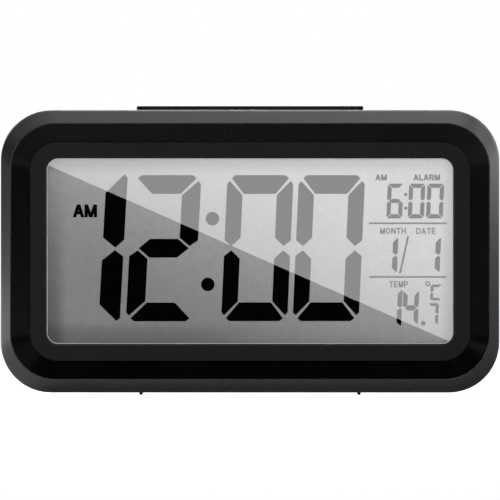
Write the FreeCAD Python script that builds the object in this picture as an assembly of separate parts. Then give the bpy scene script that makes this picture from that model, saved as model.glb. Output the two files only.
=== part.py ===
import FreeCAD, Part
import math
import os
from FreeCAD import Vector

# Desk clock with a large liquid crystal display, a snooze bar and three AAA cells.
# Millimetres. X to the right, Y to the back, Z up; the clock stands on z = 0.

# Case, measured at its widest outline
CASE_W = 135.0
CASE_H = 76.3
CASE_D = 45.0
CORNER_R = 13.6
WALL = 2.0
DRAFT_DEG = 2.5
BACK_ROUND = 6.0

# Rim round the display: an outer bevel, a crest and a slope down to the opening
BEVEL_D = 4.0
CREST_SIDE = 2.63
CREST_BOTTOM = 3.38
CREST_TOP = 3.49
CREST_CORNER_R = 12.2
CREST_FLAT = 0.25
CREST_ROUND = 0.12
RIM_SIDE = 7.83
RIM_BOTTOM = 8.41
RIM_TOP = 8.49
OPENING_R = 7.6
RECESS_D = 3.6
RIDGE_T = 1.0

# Joint between the two halves of the case
PARTING_D = 10.5
PARTING_GAP = 0.3
TONGUE_T = 0.9
TONGUE_L = 1.4
TONGUE_GAP = 0.1

# Window and the flat bezel that carries it
BEZEL_SIDE = 4.62
BEZEL_BOTTOM = 4.66
BEZEL_TOP = 4.44
WINDOW_R = 3.1
LIP_T = 0.6
LIP_W = 1.0
LIP_CHAMFER = 0.3
REBATE_GAP = 0.6
PANE_T = 1.4
PANE_GAP = 0.1
BEZEL_GAP = 0.25
BEZEL_FLANGE_W = 2.0
BEZEL_FLANGE_T = 1.0

# Display stack
GLASS_MARGIN = 1.15
GLASS_CROWN = 1.0
GLASS_T = 0.7
FILM_T = 0.2
GUIDE_T = 2.0
LED_T = 1.6
LED_H = 3.0
LED_GAP = 0.1
LEDGE_H = 2.5
STACK_GAP = 0.3
HOLDER_WALL = 0.8
HOLDER_FLOOR = 1.2
HOLDER_GAP = 0.2
LUG_R = 2.3
EAR_R = 1.75
LUG_INSET = 27.5
LUG_DROP = 2.9
NOTCH_GAP = 0.4
ZEBRA_W = 2.0
ZEBRA_INSET = 6.2
FILM_INSET = 0.5
LIGHTEN_COUNT = 3
LIGHTEN_PITCH = 30.0
LIGHTEN_W = 24.0
LIGHTEN_INSET = 11.0

# Circuit boards
BOARD_T = 1.6
BOARD_INSET = 5.2
BOARD_H = 52.0
BOARD_LAP = 1.0
BOARD_STANDOFF = 2.6
BOARD_SCREW_INSET = 4.0
BOARD_SCREW_RISE = 6.0
SMALL_BOARD_T = 1.2
POST_R = 2.5
POST_GAP = 0.4
PIN_R = 0.8
PIN_PROUD = 0.6

# Screws
SCREW_R = 1.3
SCREW_L = 8.0
SCREW_HEAD_R = 2.5
SCREW_HEAD_T = 1.8
SMALL_SCREW_R = 0.9
SMALL_SCREW_L = 3.4
SMALL_HEAD_R = 1.6
SMALL_HEAD_T = 1.1
THREAD_GAP = 0.03
HEAD_EDGE = 0.35
HOLE_SKIN = 0.4
BOSS_R = 3.2
WELL_R = 3.2
WELL_WALL = 1.3
SEAT_T = 2.0
BOSS_PROUD = 2.0
BOSS_INSET = 6.9
BOSS_LOW = 16.2
BOSS_HIGH = 16.1

# Snooze bar
SNOOZE_W = 61.5
SNOOZE_D = 14.0
SNOOZE_Y = -1.5
SNOOZE_RISE = 1.3
SNOOZE_CORNER_R = 2.0
SNOOZE_CROWN_R = 200.0
SNOOZE_EDGE_R = 0.3
SNOOZE_SKIN = 1.2
SNOOZE_FLANGE_W = 1.2
SNOOZE_FLANGE_T = 1.2
SNOOZE_BOARD_D = 11.0
RIB_T = 1.0
RIB_H = 1.6
SLOT_GAP = 0.35
COLLAR_W = 1.2
COLLAR_D = 3.5
FLANGE_GAP = 0.1
DOME_R = 3.4
DOME_TIP_R = 1.6
DOME_H = 2.2
DOME_GAP = 0.3
DOME_COUNT = 3
DOME_PITCH = 22.0
STRIP_EDGE = 1.0
PLUNGER_R = 2.0

# Keys in a sunk panel on the back
KEY_W = 9.0
KEY_H = 5.6
KEY_R = 1.6
KEY_COUNT = 4
KEY_PITCH = 20.0
KEY_GAP = 0.3
KEY_FLANGE_W = 0.8
KEY_FLANGE_T = 1.0
KEY_SUNK = 0.2
KEY_EDGE = 0.35
PANEL_D = 1.2
PANEL_MARGIN = 6.0
PANEL_H = 14.0
PANEL_R = 3.0
PANEL_RISE = 3.55
PAD_T = 1.0
PAD_EDGE = 2.0
KEY_DOME_R = 2.6
KEY_DOME_TIP_R = 1.6
KEY_DOME_H = 2.2

# Slide switches beside the battery bay
SWITCH_INSET = 21.5
SWITCH_LOW = 21.2
SWITCH_PITCH = 15.0
SWITCH_COUNT = 2
SWITCH_TRAVEL = 2.0
SWITCH_W = 9.6
SWITCH_H = 4.6
SWITCH_D = 4.0
SWITCH_SHELL = 0.6
LEVER_W = 2.4
LEVER_H = 1.8
LEVER_GAP = 0.3
SLIDER_W = 4.4
POCKET_W = 14.0
POCKET_H = 7.5
POCKET_R = 1.5

# Cells, bay and door
CELL_R = 5.25
CELL_L = 44.5
CELL_NUB_R = 1.9
CELL_NUB_L = 0.9
CELL_EDGE = 0.4
CELL_COUNT = 3
CELL_PITCH = 11.0
CELL_GAP = 0.4
CELL_LOW = 17.2
CELL_RIDGE_H = 1.4
CONTACT_ROOM = 2.6
CONTACT_T = 0.4
LEAF_W = 4.0
LEAF_REACH = 3.4
LEAF_GAP = 0.15
TAIL_W = 2.0
TAIL_L = 2.5
TAIL_GAP = 0.2
BAY_WALL = 1.5
LEDGE_W = 2.5
LEDGE_T = 1.2
DOOR_T = 1.9
DOOR_R = 2.0
DOOR_GAP = 0.35
DOOR_LAP = 1.8
TAB_T = 0.8
TAB_L = 1.4
TAB_W = 5.0
TAB_PITCH = 32.0
TAB_SKIN = 0.8
TAB_GAP = 0.3
LATCH_W = 12.0
LATCH_L = 6.0
LATCH_SLIT = 0.8
GRIP_COUNT = 3
GRIP_PITCH = 2.2
GRIP_R = 0.6
GRIP_LIFT = 0.2
GRIP_L = 10.0
GRIP_DROP = 6.0
ARROW_W = 4.4
ARROW_H = 3.5
ARROW_D = 0.3
ARROW_DROP = 11.0

# Ribs that carry the bay on the case's floor
PROP_T = 1.2
PROP_COUNT = 2
PROP_PITCH = 30.0

# Buzzer and openings for sound and air
BUZZER_R = 8.5
BUZZER_T = 4.5
BUZZER_INSET = 21.5
BUZZER_LOW = 28.7
BUZZER_RIB = 1.0
BUZZER_HOLE_R = 1.0
SLIT_W = 1.2
SLIT_L = 10.0
SLIT_PITCH = 2.6
SLIT_COUNT = 5
AIR_SLIT_L = 5.0
AIR_SLIT_COUNT = 3
AIR_SLIT_RISE = 28.0

# Small pieces on the main board
CHIP_R = 6.0
CHIP_H = 1.6
CRYSTAL_R = 1.5
CRYSTAL_L = 6.0
CRYSTAL_X = 14.0
CRYSTAL_RISE = 8.0
CAPACITOR_R = 2.5
CAPACITOR_H = 7.0
CAPACITOR_X = -18.0
CAPACITOR_RISE = 6.0
CAPACITOR_EDGE = 0.4
SENSOR_R = 1.3
SENSOR_W = 2.4
SENSOR_RISE = 5.0
SENSOR_INSET = 12.0
LEG_R = 0.3
LEG_PITCH = 1.4
RIBBON_W = 8.0
RIBBON_T = 0.4
RIBBON_DROP = 5.0
RIBBON_R = 16.7

# Wires
LEAD_R = 0.6
LEAD_BEND = 2.0
LEAD_RUN = 2.5
LEAD_SHIFT = 5.0
LEAD_PITCH = 3.0
LEAD_DROP = 4.5
SNOOZE_LEAD_X = 14.0

# Skids under the case
SKID_X = 29.6
SKID_L = 26.0
SKID_Y = 4.0
SKID_TIP = 0.5
SKID_SLANT = 0.4
FOOT_H = 0.8

DRAFT = math.tan(math.radians(DRAFT_DEG))
FRONT_Y = -CASE_D / 2
BACK_Y = CASE_D / 2
EDGE_Y = FRONT_Y + BEVEL_D
RECESS_Y = FRONT_Y + RECESS_D
FLANGE_Y = RECESS_Y + WALL
PARTING_Y = FRONT_Y + PARTING_D
INNER_BACK_Y = BACK_Y - WALL
MID_Z = FOOT_H + CASE_H / 2
TOP_Z = FOOT_H + CASE_H
OPENING_W = CASE_W - 2 * RIM_SIDE
OPENING_H = CASE_H - RIM_BOTTOM - RIM_TOP
OPENING_Z = MID_Z + (RIM_BOTTOM - RIM_TOP) / 2
WINDOW_W = OPENING_W - 2 * BEZEL_SIDE
WINDOW_H = OPENING_H - BEZEL_BOTTOM - BEZEL_TOP
WINDOW_Z = OPENING_Z + (BEZEL_BOTTOM - BEZEL_TOP) / 2
BOSS_X = CASE_W / 2 - BOSS_INSET
BOSS_SPOTS = [(x, z) for x in (-BOSS_X, BOSS_X) for z in (FOOT_H + BOSS_LOW, TOP_Z - BOSS_HIGH)]


def lean(y):
    """How far the drafted wall has come in from the widest outline at depth y."""
    return max(y - EDGE_Y, 0.0) * DRAFT


def rect(y, half_w, low, high, radius):
    """Rounded rectangle in the plane at depth y, as one closed wire."""
    slack = radius * (1 - math.sqrt(0.5))
    ends = []
    mids = []
    for sx, sz in ((1, -1), (1, 1), (-1, 1), (-1, -1)):
        x = sx * half_w
        z = high if sz > 0 else low
        corner = [Vector(x - sx * radius, y, z), Vector(x, y, z - sz * radius)]
        if sx * sz > 0:
            corner.reverse()
        ends.append(corner)
        mids.append(Vector(x - sx * slack, y, z - sz * slack))
    edges = []
    for i in range(4):
        edges.append(Part.Arc(ends[i][0], mids[i], ends[i][1]).toShape())
        edges.append(Part.LineSegment(ends[i][1], ends[(i + 1) % 4][0]).toShape())
    return Part.Wire(edges)


def case_outline(y, side, bottom, top, radius):
    """Case outline at depth y, drawn in from its widest by the given amounts."""
    return rect(y, CASE_W / 2 - side, FOOT_H + bottom, TOP_Z - top, radius)


def wall_outline(y, inset):
    """Case outline at depth y, inset evenly from the drafted outer wall."""
    inward = lean(y) + inset
    return case_outline(y, inward, inward, inward, CORNER_R - inward)


def opening_outline(y, grow):
    """Outline of the case's front opening, grown evenly."""
    half_h = OPENING_H / 2 + grow
    return rect(y, OPENING_W / 2 + grow, OPENING_Z - half_h, OPENING_Z + half_h, OPENING_R + grow)


def window_outline(y, grow):
    """Outline of the window, grown evenly."""
    half_h = WINDOW_H / 2 + grow
    return rect(y, WINDOW_W / 2 + grow, WINDOW_Z - half_h, WINDOW_Z + half_h, WINDOW_R + grow)


def loft(*wires):
    """Solid with straight sides through the wires in turn."""
    return Part.makeLoft(list(wires), True, True)


def slab(wire, depth):
    """The area inside a wire, extruded towards the back."""
    return Part.Face(wire).extrude(Vector(0, depth, 0))


def block(x0, x1, y0, y1, z0, z1):
    """Box between two corners."""
    return Part.makeBox(x1 - x0, y1 - y0, z1 - z0, Vector(x0, y0, z0))


def centred(x, z, w, h, y0, y1):
    """Box centred at x and z, from one depth to another."""
    return block(x - w / 2, x + w / 2, y0, y1, z - h / 2, z + h / 2)


def rod(radius, x, z, y0, y1):
    """Cylinder along Y."""
    return Part.makeCylinder(radius, y1 - y0, Vector(x, y0, z), Vector(0, 1, 0))


def pin(radius, x, y, z0, z1):
    """Cylinder along Z."""
    return Part.makeCylinder(radius, z1 - z0, Vector(x, y, z0), Vector(0, 0, 1))


def panel(x, z, w, h, radius, y0, y1):
    """Plate with rounded corners centred at x and z."""
    wire = rect(y0, w / 2, z - h / 2, z + h / 2, radius)
    wire.translate(Vector(x, 0, 0))
    return slab(wire, y1 - y0)


def slot(x, z, w, h, y0, y1):
    """Slit with round ends, a hair short of half circles so that no straight side vanishes."""
    radius = min(w, h) / 2
    return panel(x, z, w, h, radius * 0.999, y0, y1)


def join(shape, more):
    """Shape fused with a list of others, with the seams taken out."""
    return shape.fuse(more).removeSplitter()


def save(name, *pieces):
    """Check that each piece is one sound solid and write them as one node."""
    for piece in pieces:
        if not piece.isValid() or len(piece.Solids) != 1:
            raise ValueError(name + " holds a piece that is not one valid solid")
    solids = [piece.Solids[0] for piece in pieces]
    shape = solids[0] if len(solids) == 1 else Part.makeCompound(solids)
    shape.exportStep("parts/" + name + ".step")


def spots(count, pitch, middle=0.0):
    """Evenly spaced places about a middle."""
    return [middle + (i - (count - 1) / 2) * pitch for i in range(count)]


# ---------------------------------------------------------------- places
PANE_Y = RECESS_Y + LIP_T
STACK_Y = FLANGE_Y + STACK_GAP
GLASS_FRONT_Y = STACK_Y + FILM_T
GLASS_REAR_Y = GLASS_FRONT_Y + GLASS_T
REFLECTOR_Y = GLASS_REAR_Y + GLASS_T
GUIDE_Y = REFLECTOR_Y + FILM_T
FLOOR_Y = GUIDE_Y + GUIDE_T
BOARD_Y = FLOOR_Y + HOLDER_FLOOR + BOARD_STANDOFF
BOARD_BACK_Y = BOARD_Y + BOARD_T
GLASS_HALF_W = WINDOW_W / 2 + GLASS_MARGIN
GLASS_TOP = WINDOW_Z + WINDOW_H / 2 + GLASS_MARGIN + GLASS_CROWN
GLASS_LOW = WINDOW_Z - WINDOW_H / 2 - GLASS_MARGIN
LEDGE_LOW = GLASS_LOW - LEDGE_H
HOLDER_HALF_W = GLASS_HALF_W + HOLDER_GAP + HOLDER_WALL
HOLDER_LOW = LEDGE_LOW - HOLDER_GAP - HOLDER_WALL
HOLDER_TOP = GLASS_TOP + HOLDER_GAP + HOLDER_WALL
BEZEL_BACK_Y = FLANGE_Y + BEZEL_FLANGE_T
LUG_LOW_Z = OPENING_Z - OPENING_H / 2 - BEZEL_FLANGE_W - LUG_R
LUG_HIGH_Z = OPENING_Z + OPENING_H / 2 + BEZEL_FLANGE_W + LUG_R
LUG_Y = FLANGE_Y + LUG_DROP
LUG_X = CASE_W / 2 - LUG_INSET
LUG_SPOTS = [(x, z) for x in (-LUG_X, LUG_X) for z in (LUG_LOW_Z, LUG_HIGH_Z)]
BOARD_W = 2 * (HOLDER_HALF_W - BOARD_INSET)
BOARD_LOW = LEDGE_LOW - BOARD_LAP
BOARD_TOP = BOARD_LOW + BOARD_H
BOARD_MID_Z = BOARD_LOW + BOARD_H / 2
BOARD_SCREW_X = BOARD_W / 2 - BOARD_SCREW_INSET
BOARD_SPOTS = [(x, z) for x in (-BOARD_SCREW_X, BOARD_SCREW_X)
               for z in (BOARD_LOW + BOARD_SCREW_RISE, BOARD_TOP - BOARD_SCREW_INSET)]
ZEBRA_HALF_L = GLASS_HALF_W - ZEBRA_INSET
BOSS_END_Y = PARTING_Y + BOSS_PROUD
HOLE_R = SCREW_R + THREAD_GAP
SMALL_HOLE_R = SMALL_SCREW_R + THREAD_GAP
HEAD_SEAT_Y = BOSS_END_Y + SEAT_T

COLLAR_Z = TOP_Z - COLLAR_D
SNOOZE_TOP = TOP_Z + SNOOZE_RISE
SNOOZE_FLANGE_TOP = COLLAR_Z - FLANGE_GAP
SNOOZE_LOW = SNOOZE_FLANGE_TOP - SNOOZE_FLANGE_T
DOME_TOP = SNOOZE_LOW - DOME_GAP
SNOOZE_PAD_TOP = DOME_TOP - DOME_H
SNOOZE_BOARD_TOP = SNOOZE_PAD_TOP - PAD_T
CROWN_DROP = SNOOZE_D ** 2 / (8 * SNOOZE_CROWN_R)
SNOOZE_ROOF = SNOOZE_TOP - CROWN_DROP - SNOOZE_SKIN
SNOOZE_POST_X = SNOOZE_W / 2 + SLOT_GAP + COLLAR_W + POST_R + POST_GAP

CELL_Y = BACK_Y - DOOR_T - CELL_GAP - CELL_R
CELL_SPOTS = [FOOT_H + CELL_LOW + i * CELL_PITCH for i in range(CELL_COUNT)]
CELL_NAMES = ("cell_lower", "cell_middle", "cell_upper")
BAY_MID_Z = (CELL_SPOTS[0] + CELL_SPOTS[-1]) / 2
BAY_H = (CELL_COUNT - 1) * CELL_PITCH + 2 * CELL_R + 2 * CELL_GAP
BAY_W = CELL_L + 2 * CONTACT_ROOM + 2 * CONTACT_T
BAY_FLOOR_Y = CELL_Y - CELL_R - CELL_GAP
TAIL_X = (BAY_W - CONTACT_T) / 2
TAIL_Y = BAY_FLOOR_Y - BAY_WALL - TAIL_L
DOOR_W = BAY_W + 2 * DOOR_LAP
DOOR_H = BAY_H + 2 * DOOR_LAP
DOOR_Y = BACK_Y - DOOR_T
DOOR_LOW = BAY_MID_Z - DOOR_H / 2
DOOR_TOP = BAY_MID_Z + DOOR_H / 2

PANEL_Z = DOOR_TOP + PANEL_RISE + PANEL_H / 2
PANEL_FLOOR_Y = BACK_Y - PANEL_D
PANEL_BACK_Y = PANEL_FLOOR_Y - WALL
KEY_SPOTS = spots(KEY_COUNT, KEY_PITCH)
KEY_NAMES = ("mode_key", "set_key", "up_key", "down_key")
PANEL_W = (KEY_COUNT - 1) * KEY_PITCH + KEY_W + 2 * PANEL_MARGIN
KEY_END_Y = PANEL_BACK_Y - FLANGE_GAP - KEY_FLANGE_T
KEY_DOME_Y = KEY_END_Y - DOME_GAP
PAD_Y = KEY_DOME_Y - KEY_DOME_H
KEY_BOARD_Y = PAD_Y - PAD_T
KEY_POST_X = KEY_SPOTS[-1] + KEY_W / 2 + KEY_FLANGE_W + POST_R + 2 * KEY_GAP

SWITCH_X = CASE_W / 2 - SWITCH_INSET
SWITCH_SPOTS = [FOOT_H + SWITCH_LOW + i * SWITCH_PITCH for i in range(SWITCH_COUNT)]
AIR_Z = SWITCH_SPOTS[0] + AIR_SLIT_RISE
BUZZER_X = BUZZER_INSET - CASE_W / 2
BUZZER_Z = FOOT_H + BUZZER_LOW
SWITCH_NAMES = ("alarm", "hours")


# ---------------------------------------------------------------- front
def front_case():
    """Rim with a bevel, a crest and a slope, hollow behind, with screw bosses."""
    outer = loft(case_outline(FRONT_Y, CREST_SIDE, CREST_BOTTOM, CREST_TOP, CREST_CORNER_R),
                 wall_outline(EDGE_Y, 0.0),
                 wall_outline(PARTING_Y, 0.0))
    crest = case_outline(FRONT_Y, CREST_SIDE + CREST_FLAT, CREST_BOTTOM + CREST_FLAT,
                         CREST_TOP + CREST_FLAT, CREST_CORNER_R - CREST_FLAT)
    body = outer.cut([loft(crest, opening_outline(RECESS_Y, 0.0)),
                      slab(opening_outline(RECESS_Y, 0.0), WALL),
                      loft(wall_outline(FLANGE_Y, WALL), wall_outline(PARTING_Y, WALL))])
    ridge = [e for e in body.Edges if e.BoundBox.YMax < FRONT_Y + 1e-4]
    body = body.makeFillet(CREST_ROUND, ridge)

    bosses = [rod(BOSS_R, x, z, FLANGE_Y, BOSS_END_Y) for x, z in BOSS_SPOTS]
    lugs = [rod(LUG_R, x, z, FLANGE_Y, LUG_Y) for x, z in LUG_SPOTS]
    core_y = FLANGE_Y - RECESS_D + RIDGE_T / 2
    inner = RIM_SIDE - RIDGE_T
    core = loft(wall_outline(FLANGE_Y, WALL), wall_outline(core_y, WALL + RIDGE_T))
    core = core.cut(loft(wall_outline(FLANGE_Y, inner - RIDGE_T), wall_outline(core_y, inner - 2 * RIDGE_T)))
    core = core.cut([rod(BOSS_R, x, z, core_y, FLANGE_Y) for x, z in BOSS_SPOTS]
                    + [rod(LUG_R, x, z, core_y, FLANGE_Y) for x, z in LUG_SPOTS])
    tongue = slab(wall_outline(PARTING_Y, WALL - TONGUE_T), TONGUE_L)
    tongue = tongue.cut(slab(wall_outline(PARTING_Y, WALL), TONGUE_L))
    body = join(body.cut(core), bosses + lugs + [tongue])
    start = FLANGE_Y + HOLE_SKIN
    return body.cut([rod(HOLE_R, x, z, start, BOSS_END_Y) for x, z in BOSS_SPOTS]
                    + [rod(SMALL_HOLE_R, x, z, start, LUG_Y) for x, z in LUG_SPOTS])


def inner_bezel():
    """Flat frame round the window with a rebate for the pane and a flange behind."""
    plate = slab(opening_outline(RECESS_Y, -BEZEL_GAP), WALL)
    flange = slab(opening_outline(FLANGE_Y, BEZEL_FLANGE_W), BEZEL_FLANGE_T)
    body = join(plate, [flange])
    chamfer = loft(window_outline(RECESS_Y, LIP_CHAMFER), window_outline(RECESS_Y + LIP_CHAMFER, 0.0))
    room = centred(0, (GLASS_TOP + LEDGE_LOW) / 2, 2 * (GLASS_HALF_W + REBATE_GAP),
                   GLASS_TOP - LEDGE_LOW + 2 * REBATE_GAP, FLANGE_Y, BEZEL_BACK_Y)
    notch = 2 * (BOSS_R + NOTCH_GAP)
    notches = [centred(x, z, notch, notch, FLANGE_Y, BEZEL_BACK_Y) for x, z in BOSS_SPOTS]
    return body.cut([chamfer,
                     slab(window_outline(RECESS_Y, 0.0), WALL),
                     slab(window_outline(PANE_Y, LIP_W), WALL), room] + notches)


def window_pane():
    """Clear sheet in the bezel's rebate."""
    return slab(window_outline(PANE_Y, LIP_W - PANE_GAP), PANE_T)


def layer(y, thick, low, top, shrink=0.0):
    """One flat layer of the display stack."""
    return block(-GLASS_HALF_W + shrink, GLASS_HALF_W - shrink, y, y + thick, low, top)


def lcd_holder():
    """Tray that clamps the display stack to the back of the bezel."""
    tray = block(-HOLDER_HALF_W, HOLDER_HALF_W, BEZEL_BACK_Y, FLOOR_Y + HOLDER_FLOOR,
                 HOLDER_LOW, HOLDER_TOP)
    room = block(-GLASS_HALF_W - HOLDER_GAP, GLASS_HALF_W + HOLDER_GAP, BEZEL_BACK_Y, FLOOR_Y,
                 LEDGE_LOW - HOLDER_GAP, GLASS_TOP + HOLDER_GAP)
    ears = []
    for x, z in LUG_SPOTS:
        edge = HOLDER_LOW if z < MID_Z else HOLDER_TOP
        low, high = min(z, edge), max(z, edge)
        ears.append(block(x - EAR_R, x + EAR_R, LUG_Y, LUG_Y + HOLDER_FLOOR, low, high))
        ears.append(rod(EAR_R, x, z, LUG_Y, LUG_Y + HOLDER_FLOOR))
    posts = [rod(POST_R, x, z, FLOOR_Y, BOARD_Y) for x, z in BOARD_SPOTS]
    body = join(tray.cut(room), ears + posts)
    back_y = FLOOR_Y + HOLDER_FLOOR
    lighten = [centred(x, BOARD_MID_Z, LIGHTEN_W, BOARD_H - 2 * LIGHTEN_INSET, FLOOR_Y, back_y)
               for x in spots(LIGHTEN_COUNT, LIGHTEN_PITCH)]
    gap = HOLDER_GAP / 2
    zebra = block(-ZEBRA_HALF_L - gap, ZEBRA_HALF_L + gap, FLOOR_Y, back_y,
                  LEDGE_LOW + gap, LEDGE_LOW + ZEBRA_W + 3 * gap)
    return body.cut(lighten + [zebra]
                    + [rod(SMALL_HOLE_R, x, z, LUG_Y, LUG_Y + HOLDER_FLOOR) for x, z in LUG_SPOTS]
                    + [rod(SMALL_HOLE_R, x, z, FLOOR_Y + HOLE_SKIN, BOARD_Y) for x, z in BOARD_SPOTS])


def zebra_strip():
    """Rubber connector from the glass ledge to the main board."""
    return block(-ZEBRA_HALF_L, ZEBRA_HALF_L, GLASS_REAR_Y, BOARD_Y,
                 LEDGE_LOW + HOLDER_GAP, LEDGE_LOW + HOLDER_GAP + ZEBRA_W)


def light_guide():
    """Clear sheet behind the reflector, short of the rubber connector and the lamp."""
    low = LEDGE_LOW + ZEBRA_W + 3 * HOLDER_GAP
    return block(-GLASS_HALF_W + LED_T + LED_GAP, GLASS_HALF_W, GUIDE_Y, GUIDE_Y + GUIDE_T, low, GLASS_TOP)


def backlight_lamp():
    """Small lamp that shines into the left edge of the light guide."""
    return centred(-GLASS_HALF_W + LED_T / 2, WINDOW_Z, LED_T, LED_H, GUIDE_Y, GUIDE_Y + GUIDE_T)


# ---------------------------------------------------------------- boards
def main_board():
    """Main circuit board on the holder's posts."""
    body = centred(0, BOARD_MID_Z, BOARD_W, BOARD_H, BOARD_Y, BOARD_BACK_Y)
    return body.cut([rod(SMALL_HOLE_R, x, z, BOARD_Y, BOARD_BACK_Y) for x, z in BOARD_SPOTS])


def chip_cover():
    """Drop of resin over the clock chip."""
    ball_r = (CHIP_R ** 2 + CHIP_H ** 2) / (2 * CHIP_H)
    drop = Part.makeSphere(ball_r, Vector(0, BOARD_BACK_Y + CHIP_H - ball_r, BOARD_MID_Z))
    return drop.common(rod(2 * CHIP_R, 0, BOARD_MID_Z, BOARD_BACK_Y, BOARD_BACK_Y + 2 * CHIP_H))


def crystal_can():
    """Tuning-fork crystal lying on the main board."""
    start = Vector(CRYSTAL_X, BOARD_BACK_Y + CRYSTAL_R, BOARD_MID_Z + CRYSTAL_RISE)
    return Part.makeCylinder(CRYSTAL_R, CRYSTAL_L, start, Vector(1, 0, 0))


def reservoir_capacitor():
    """Round capacitor standing on the main board."""
    top = BOARD_BACK_Y + CAPACITOR_H
    body = rod(CAPACITOR_R, CAPACITOR_X, BOARD_MID_Z + CAPACITOR_RISE, BOARD_BACK_Y, top)
    rim = [e for e in body.Edges if e.BoundBox.YMin > top - 1e-4]
    return body.makeChamfer(CAPACITOR_EDGE, rim)


def thermistor():
    """Temperature sensor on two leads at the edge of the main board."""
    x = BOARD_W / 2 - SENSOR_INSET
    z = BOARD_TOP - SENSOR_INSET / 2
    y = BOARD_BACK_Y + SENSOR_RISE
    bead = Part.makeCylinder(SENSOR_R, SENSOR_W, Vector(x - SENSOR_W / 2, y, z), Vector(1, 0, 0))
    return join(bead, [rod(LEG_R, leg, z, BOARD_BACK_Y, y) for leg in spots(2, LEG_PITCH, x)])


def ribbon_cable():
    """Flat cable that runs in a shallow arc between the two boards."""
    start, end = BOARD_BACK_Y, KEY_BOARD_Y - SMALL_BOARD_T
    z = BOARD_TOP - RIBBON_DROP
    chord = end - start
    depth = math.sqrt(RIBBON_R ** 2 - (chord / 2) ** 2)
    middle = Vector(-RIBBON_W / 2, (start + end) / 2, z + depth)
    ring = Part.makeCylinder(RIBBON_R + RIBBON_T, RIBBON_W, middle, Vector(1, 0, 0))
    ring = ring.cut(Part.makeCylinder(RIBBON_R, RIBBON_W, middle, Vector(1, 0, 0)))
    return ring.common(block(-RIBBON_W, RIBBON_W, start, end, z - RIBBON_R, z + RIBBON_T))


def lead(points):
    """Round wire along straight runs that are joined by tangent arcs."""
    edges = []
    start = points[0]
    for before, corner, after in zip(points, points[1:], points[2:]):
        back = (before - corner).normalize()
        ahead = (after - corner).normalize()
        half = back.getAngle(ahead) / 2
        touch = LEAD_BEND / math.tan(half)
        inward = (back + ahead).normalize()
        middle = corner + inward * (LEAD_BEND / math.sin(half) - LEAD_BEND)
        first, last = corner + back * touch, corner + ahead * touch
        edges.append(Part.LineSegment(start, first).toShape())
        edges.append(Part.Arc(first, middle, last).toShape())
        start = last
    edges.append(Part.LineSegment(start, points[-1]).toShape())
    heading = (points[1] - points[0]).normalize()
    section = Part.Wire(Part.makeCircle(LEAD_R, points[0], heading))
    return Part.Wire(edges).makePipeShell([section], True, True)


def board_lead(x, y, z, board_x, board_z):
    """Wire that leaves a piece forwards and ends square on the back of the main board."""
    start, end = Vector(x, y, z), Vector(board_x, BOARD_BACK_Y, board_z)
    ahead = Vector(0, LEAD_RUN, 0)
    return lead([start, start - ahead, end + ahead, end])


def battery_lead(side):
    """Wire from the tail of a contact strip to the main board."""
    return board_lead(side * TAIL_X, TAIL_Y, BAY_MID_Z, side * (TAIL_X - LEAD_SHIFT), BAY_MID_Z + LEAD_SHIFT)


def snooze_lead(x):
    """Wire from under the snooze board, down and forwards to the main board."""
    low = BOARD_TOP - LEAD_DROP
    return lead([Vector(x, SNOOZE_Y, SNOOZE_BOARD_TOP - SMALL_BOARD_T), Vector(x, SNOOZE_Y, low),
                 Vector(x, BOARD_BACK_Y, low)])


def key_board():
    """Circuit board under the keys, on the pins of two posts."""
    width = 2 * (KEY_POST_X + POST_R)
    body = centred(0, PANEL_Z, width, PANEL_H - PAD_EDGE, KEY_BOARD_Y - SMALL_BOARD_T, KEY_BOARD_Y)
    return body.cut([rod(PIN_R + THREAD_GAP, x, PANEL_Z, KEY_BOARD_Y - SMALL_BOARD_T, KEY_BOARD_Y)
                     for x in (-KEY_POST_X, KEY_POST_X)])


def key_pad():
    """Silicone sheet with one dome under each key."""
    width = 2 * (KEY_POST_X - POST_R - POST_GAP)
    body = panel(0, PANEL_Z, width, PANEL_H - 2 * PAD_EDGE, PAD_EDGE, KEY_BOARD_Y, PAD_Y)
    domes = [Part.makeCone(KEY_DOME_R, KEY_DOME_TIP_R, KEY_DOME_H, Vector(x, PAD_Y, PANEL_Z), Vector(0, 1, 0))
             for x in KEY_SPOTS]
    return join(body, domes)


# ---------------------------------------------------------------- rear case
def rear_shell():
    """Drafted tub with a rounded back and a rebate for the front case's tongue."""
    start = PARTING_Y + PARTING_GAP
    outer = loft(wall_outline(start, 0.0), wall_outline(BACK_Y, 0.0))
    rim = [e for e in outer.Edges if e.BoundBox.YMin > BACK_Y - 1e-4]
    outer = outer.makeFillet(BACK_ROUND, rim)
    hollow = loft(wall_outline(start, WALL), wall_outline(INNER_BACK_Y, WALL))
    rim = [e for e in hollow.Edges if e.BoundBox.YMin > INNER_BACK_Y - 1e-4]
    hollow = hollow.makeFillet(BACK_ROUND - WALL, rim)
    rebate = slab(wall_outline(start, WALL - TONGUE_T - TONGUE_GAP), TONGUE_L)
    return outer, outer.cut([hollow, rebate])


def battery_bay():
    """Walls and floor of the bay, and the ledge that the door closes on."""
    walls = centred(0, BAY_MID_Z, BAY_W + 2 * BAY_WALL, BAY_H + 2 * BAY_WALL,
                    BAY_FLOOR_Y - BAY_WALL, INNER_BACK_Y)
    ledge = centred(0, BAY_MID_Z, DOOR_W + 2 * LEDGE_W, DOOR_H + 2 * LEDGE_W,
                    INNER_BACK_Y - LEDGE_T, INNER_BACK_Y)
    return [walls, ledge]


def bay_ridges():
    """Low ridges on the floor that keep the cells apart."""
    ridges = []
    rise = CELL_RIDGE_H
    for z in spots(CELL_COUNT - 1, CELL_PITCH, BAY_MID_Z):
        corners = [Vector(-BAY_W / 4, BAY_FLOOR_Y, z - rise), Vector(-BAY_W / 4, BAY_FLOOR_Y, z + rise),
                   Vector(-BAY_W / 4, BAY_FLOOR_Y + rise, z)]
        face = Part.Face(Part.makePolygon(corners + corners[:1]))
        ridges.append(face.extrude(Vector(BAY_W / 2, 0, 0)))
    return ridges


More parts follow.
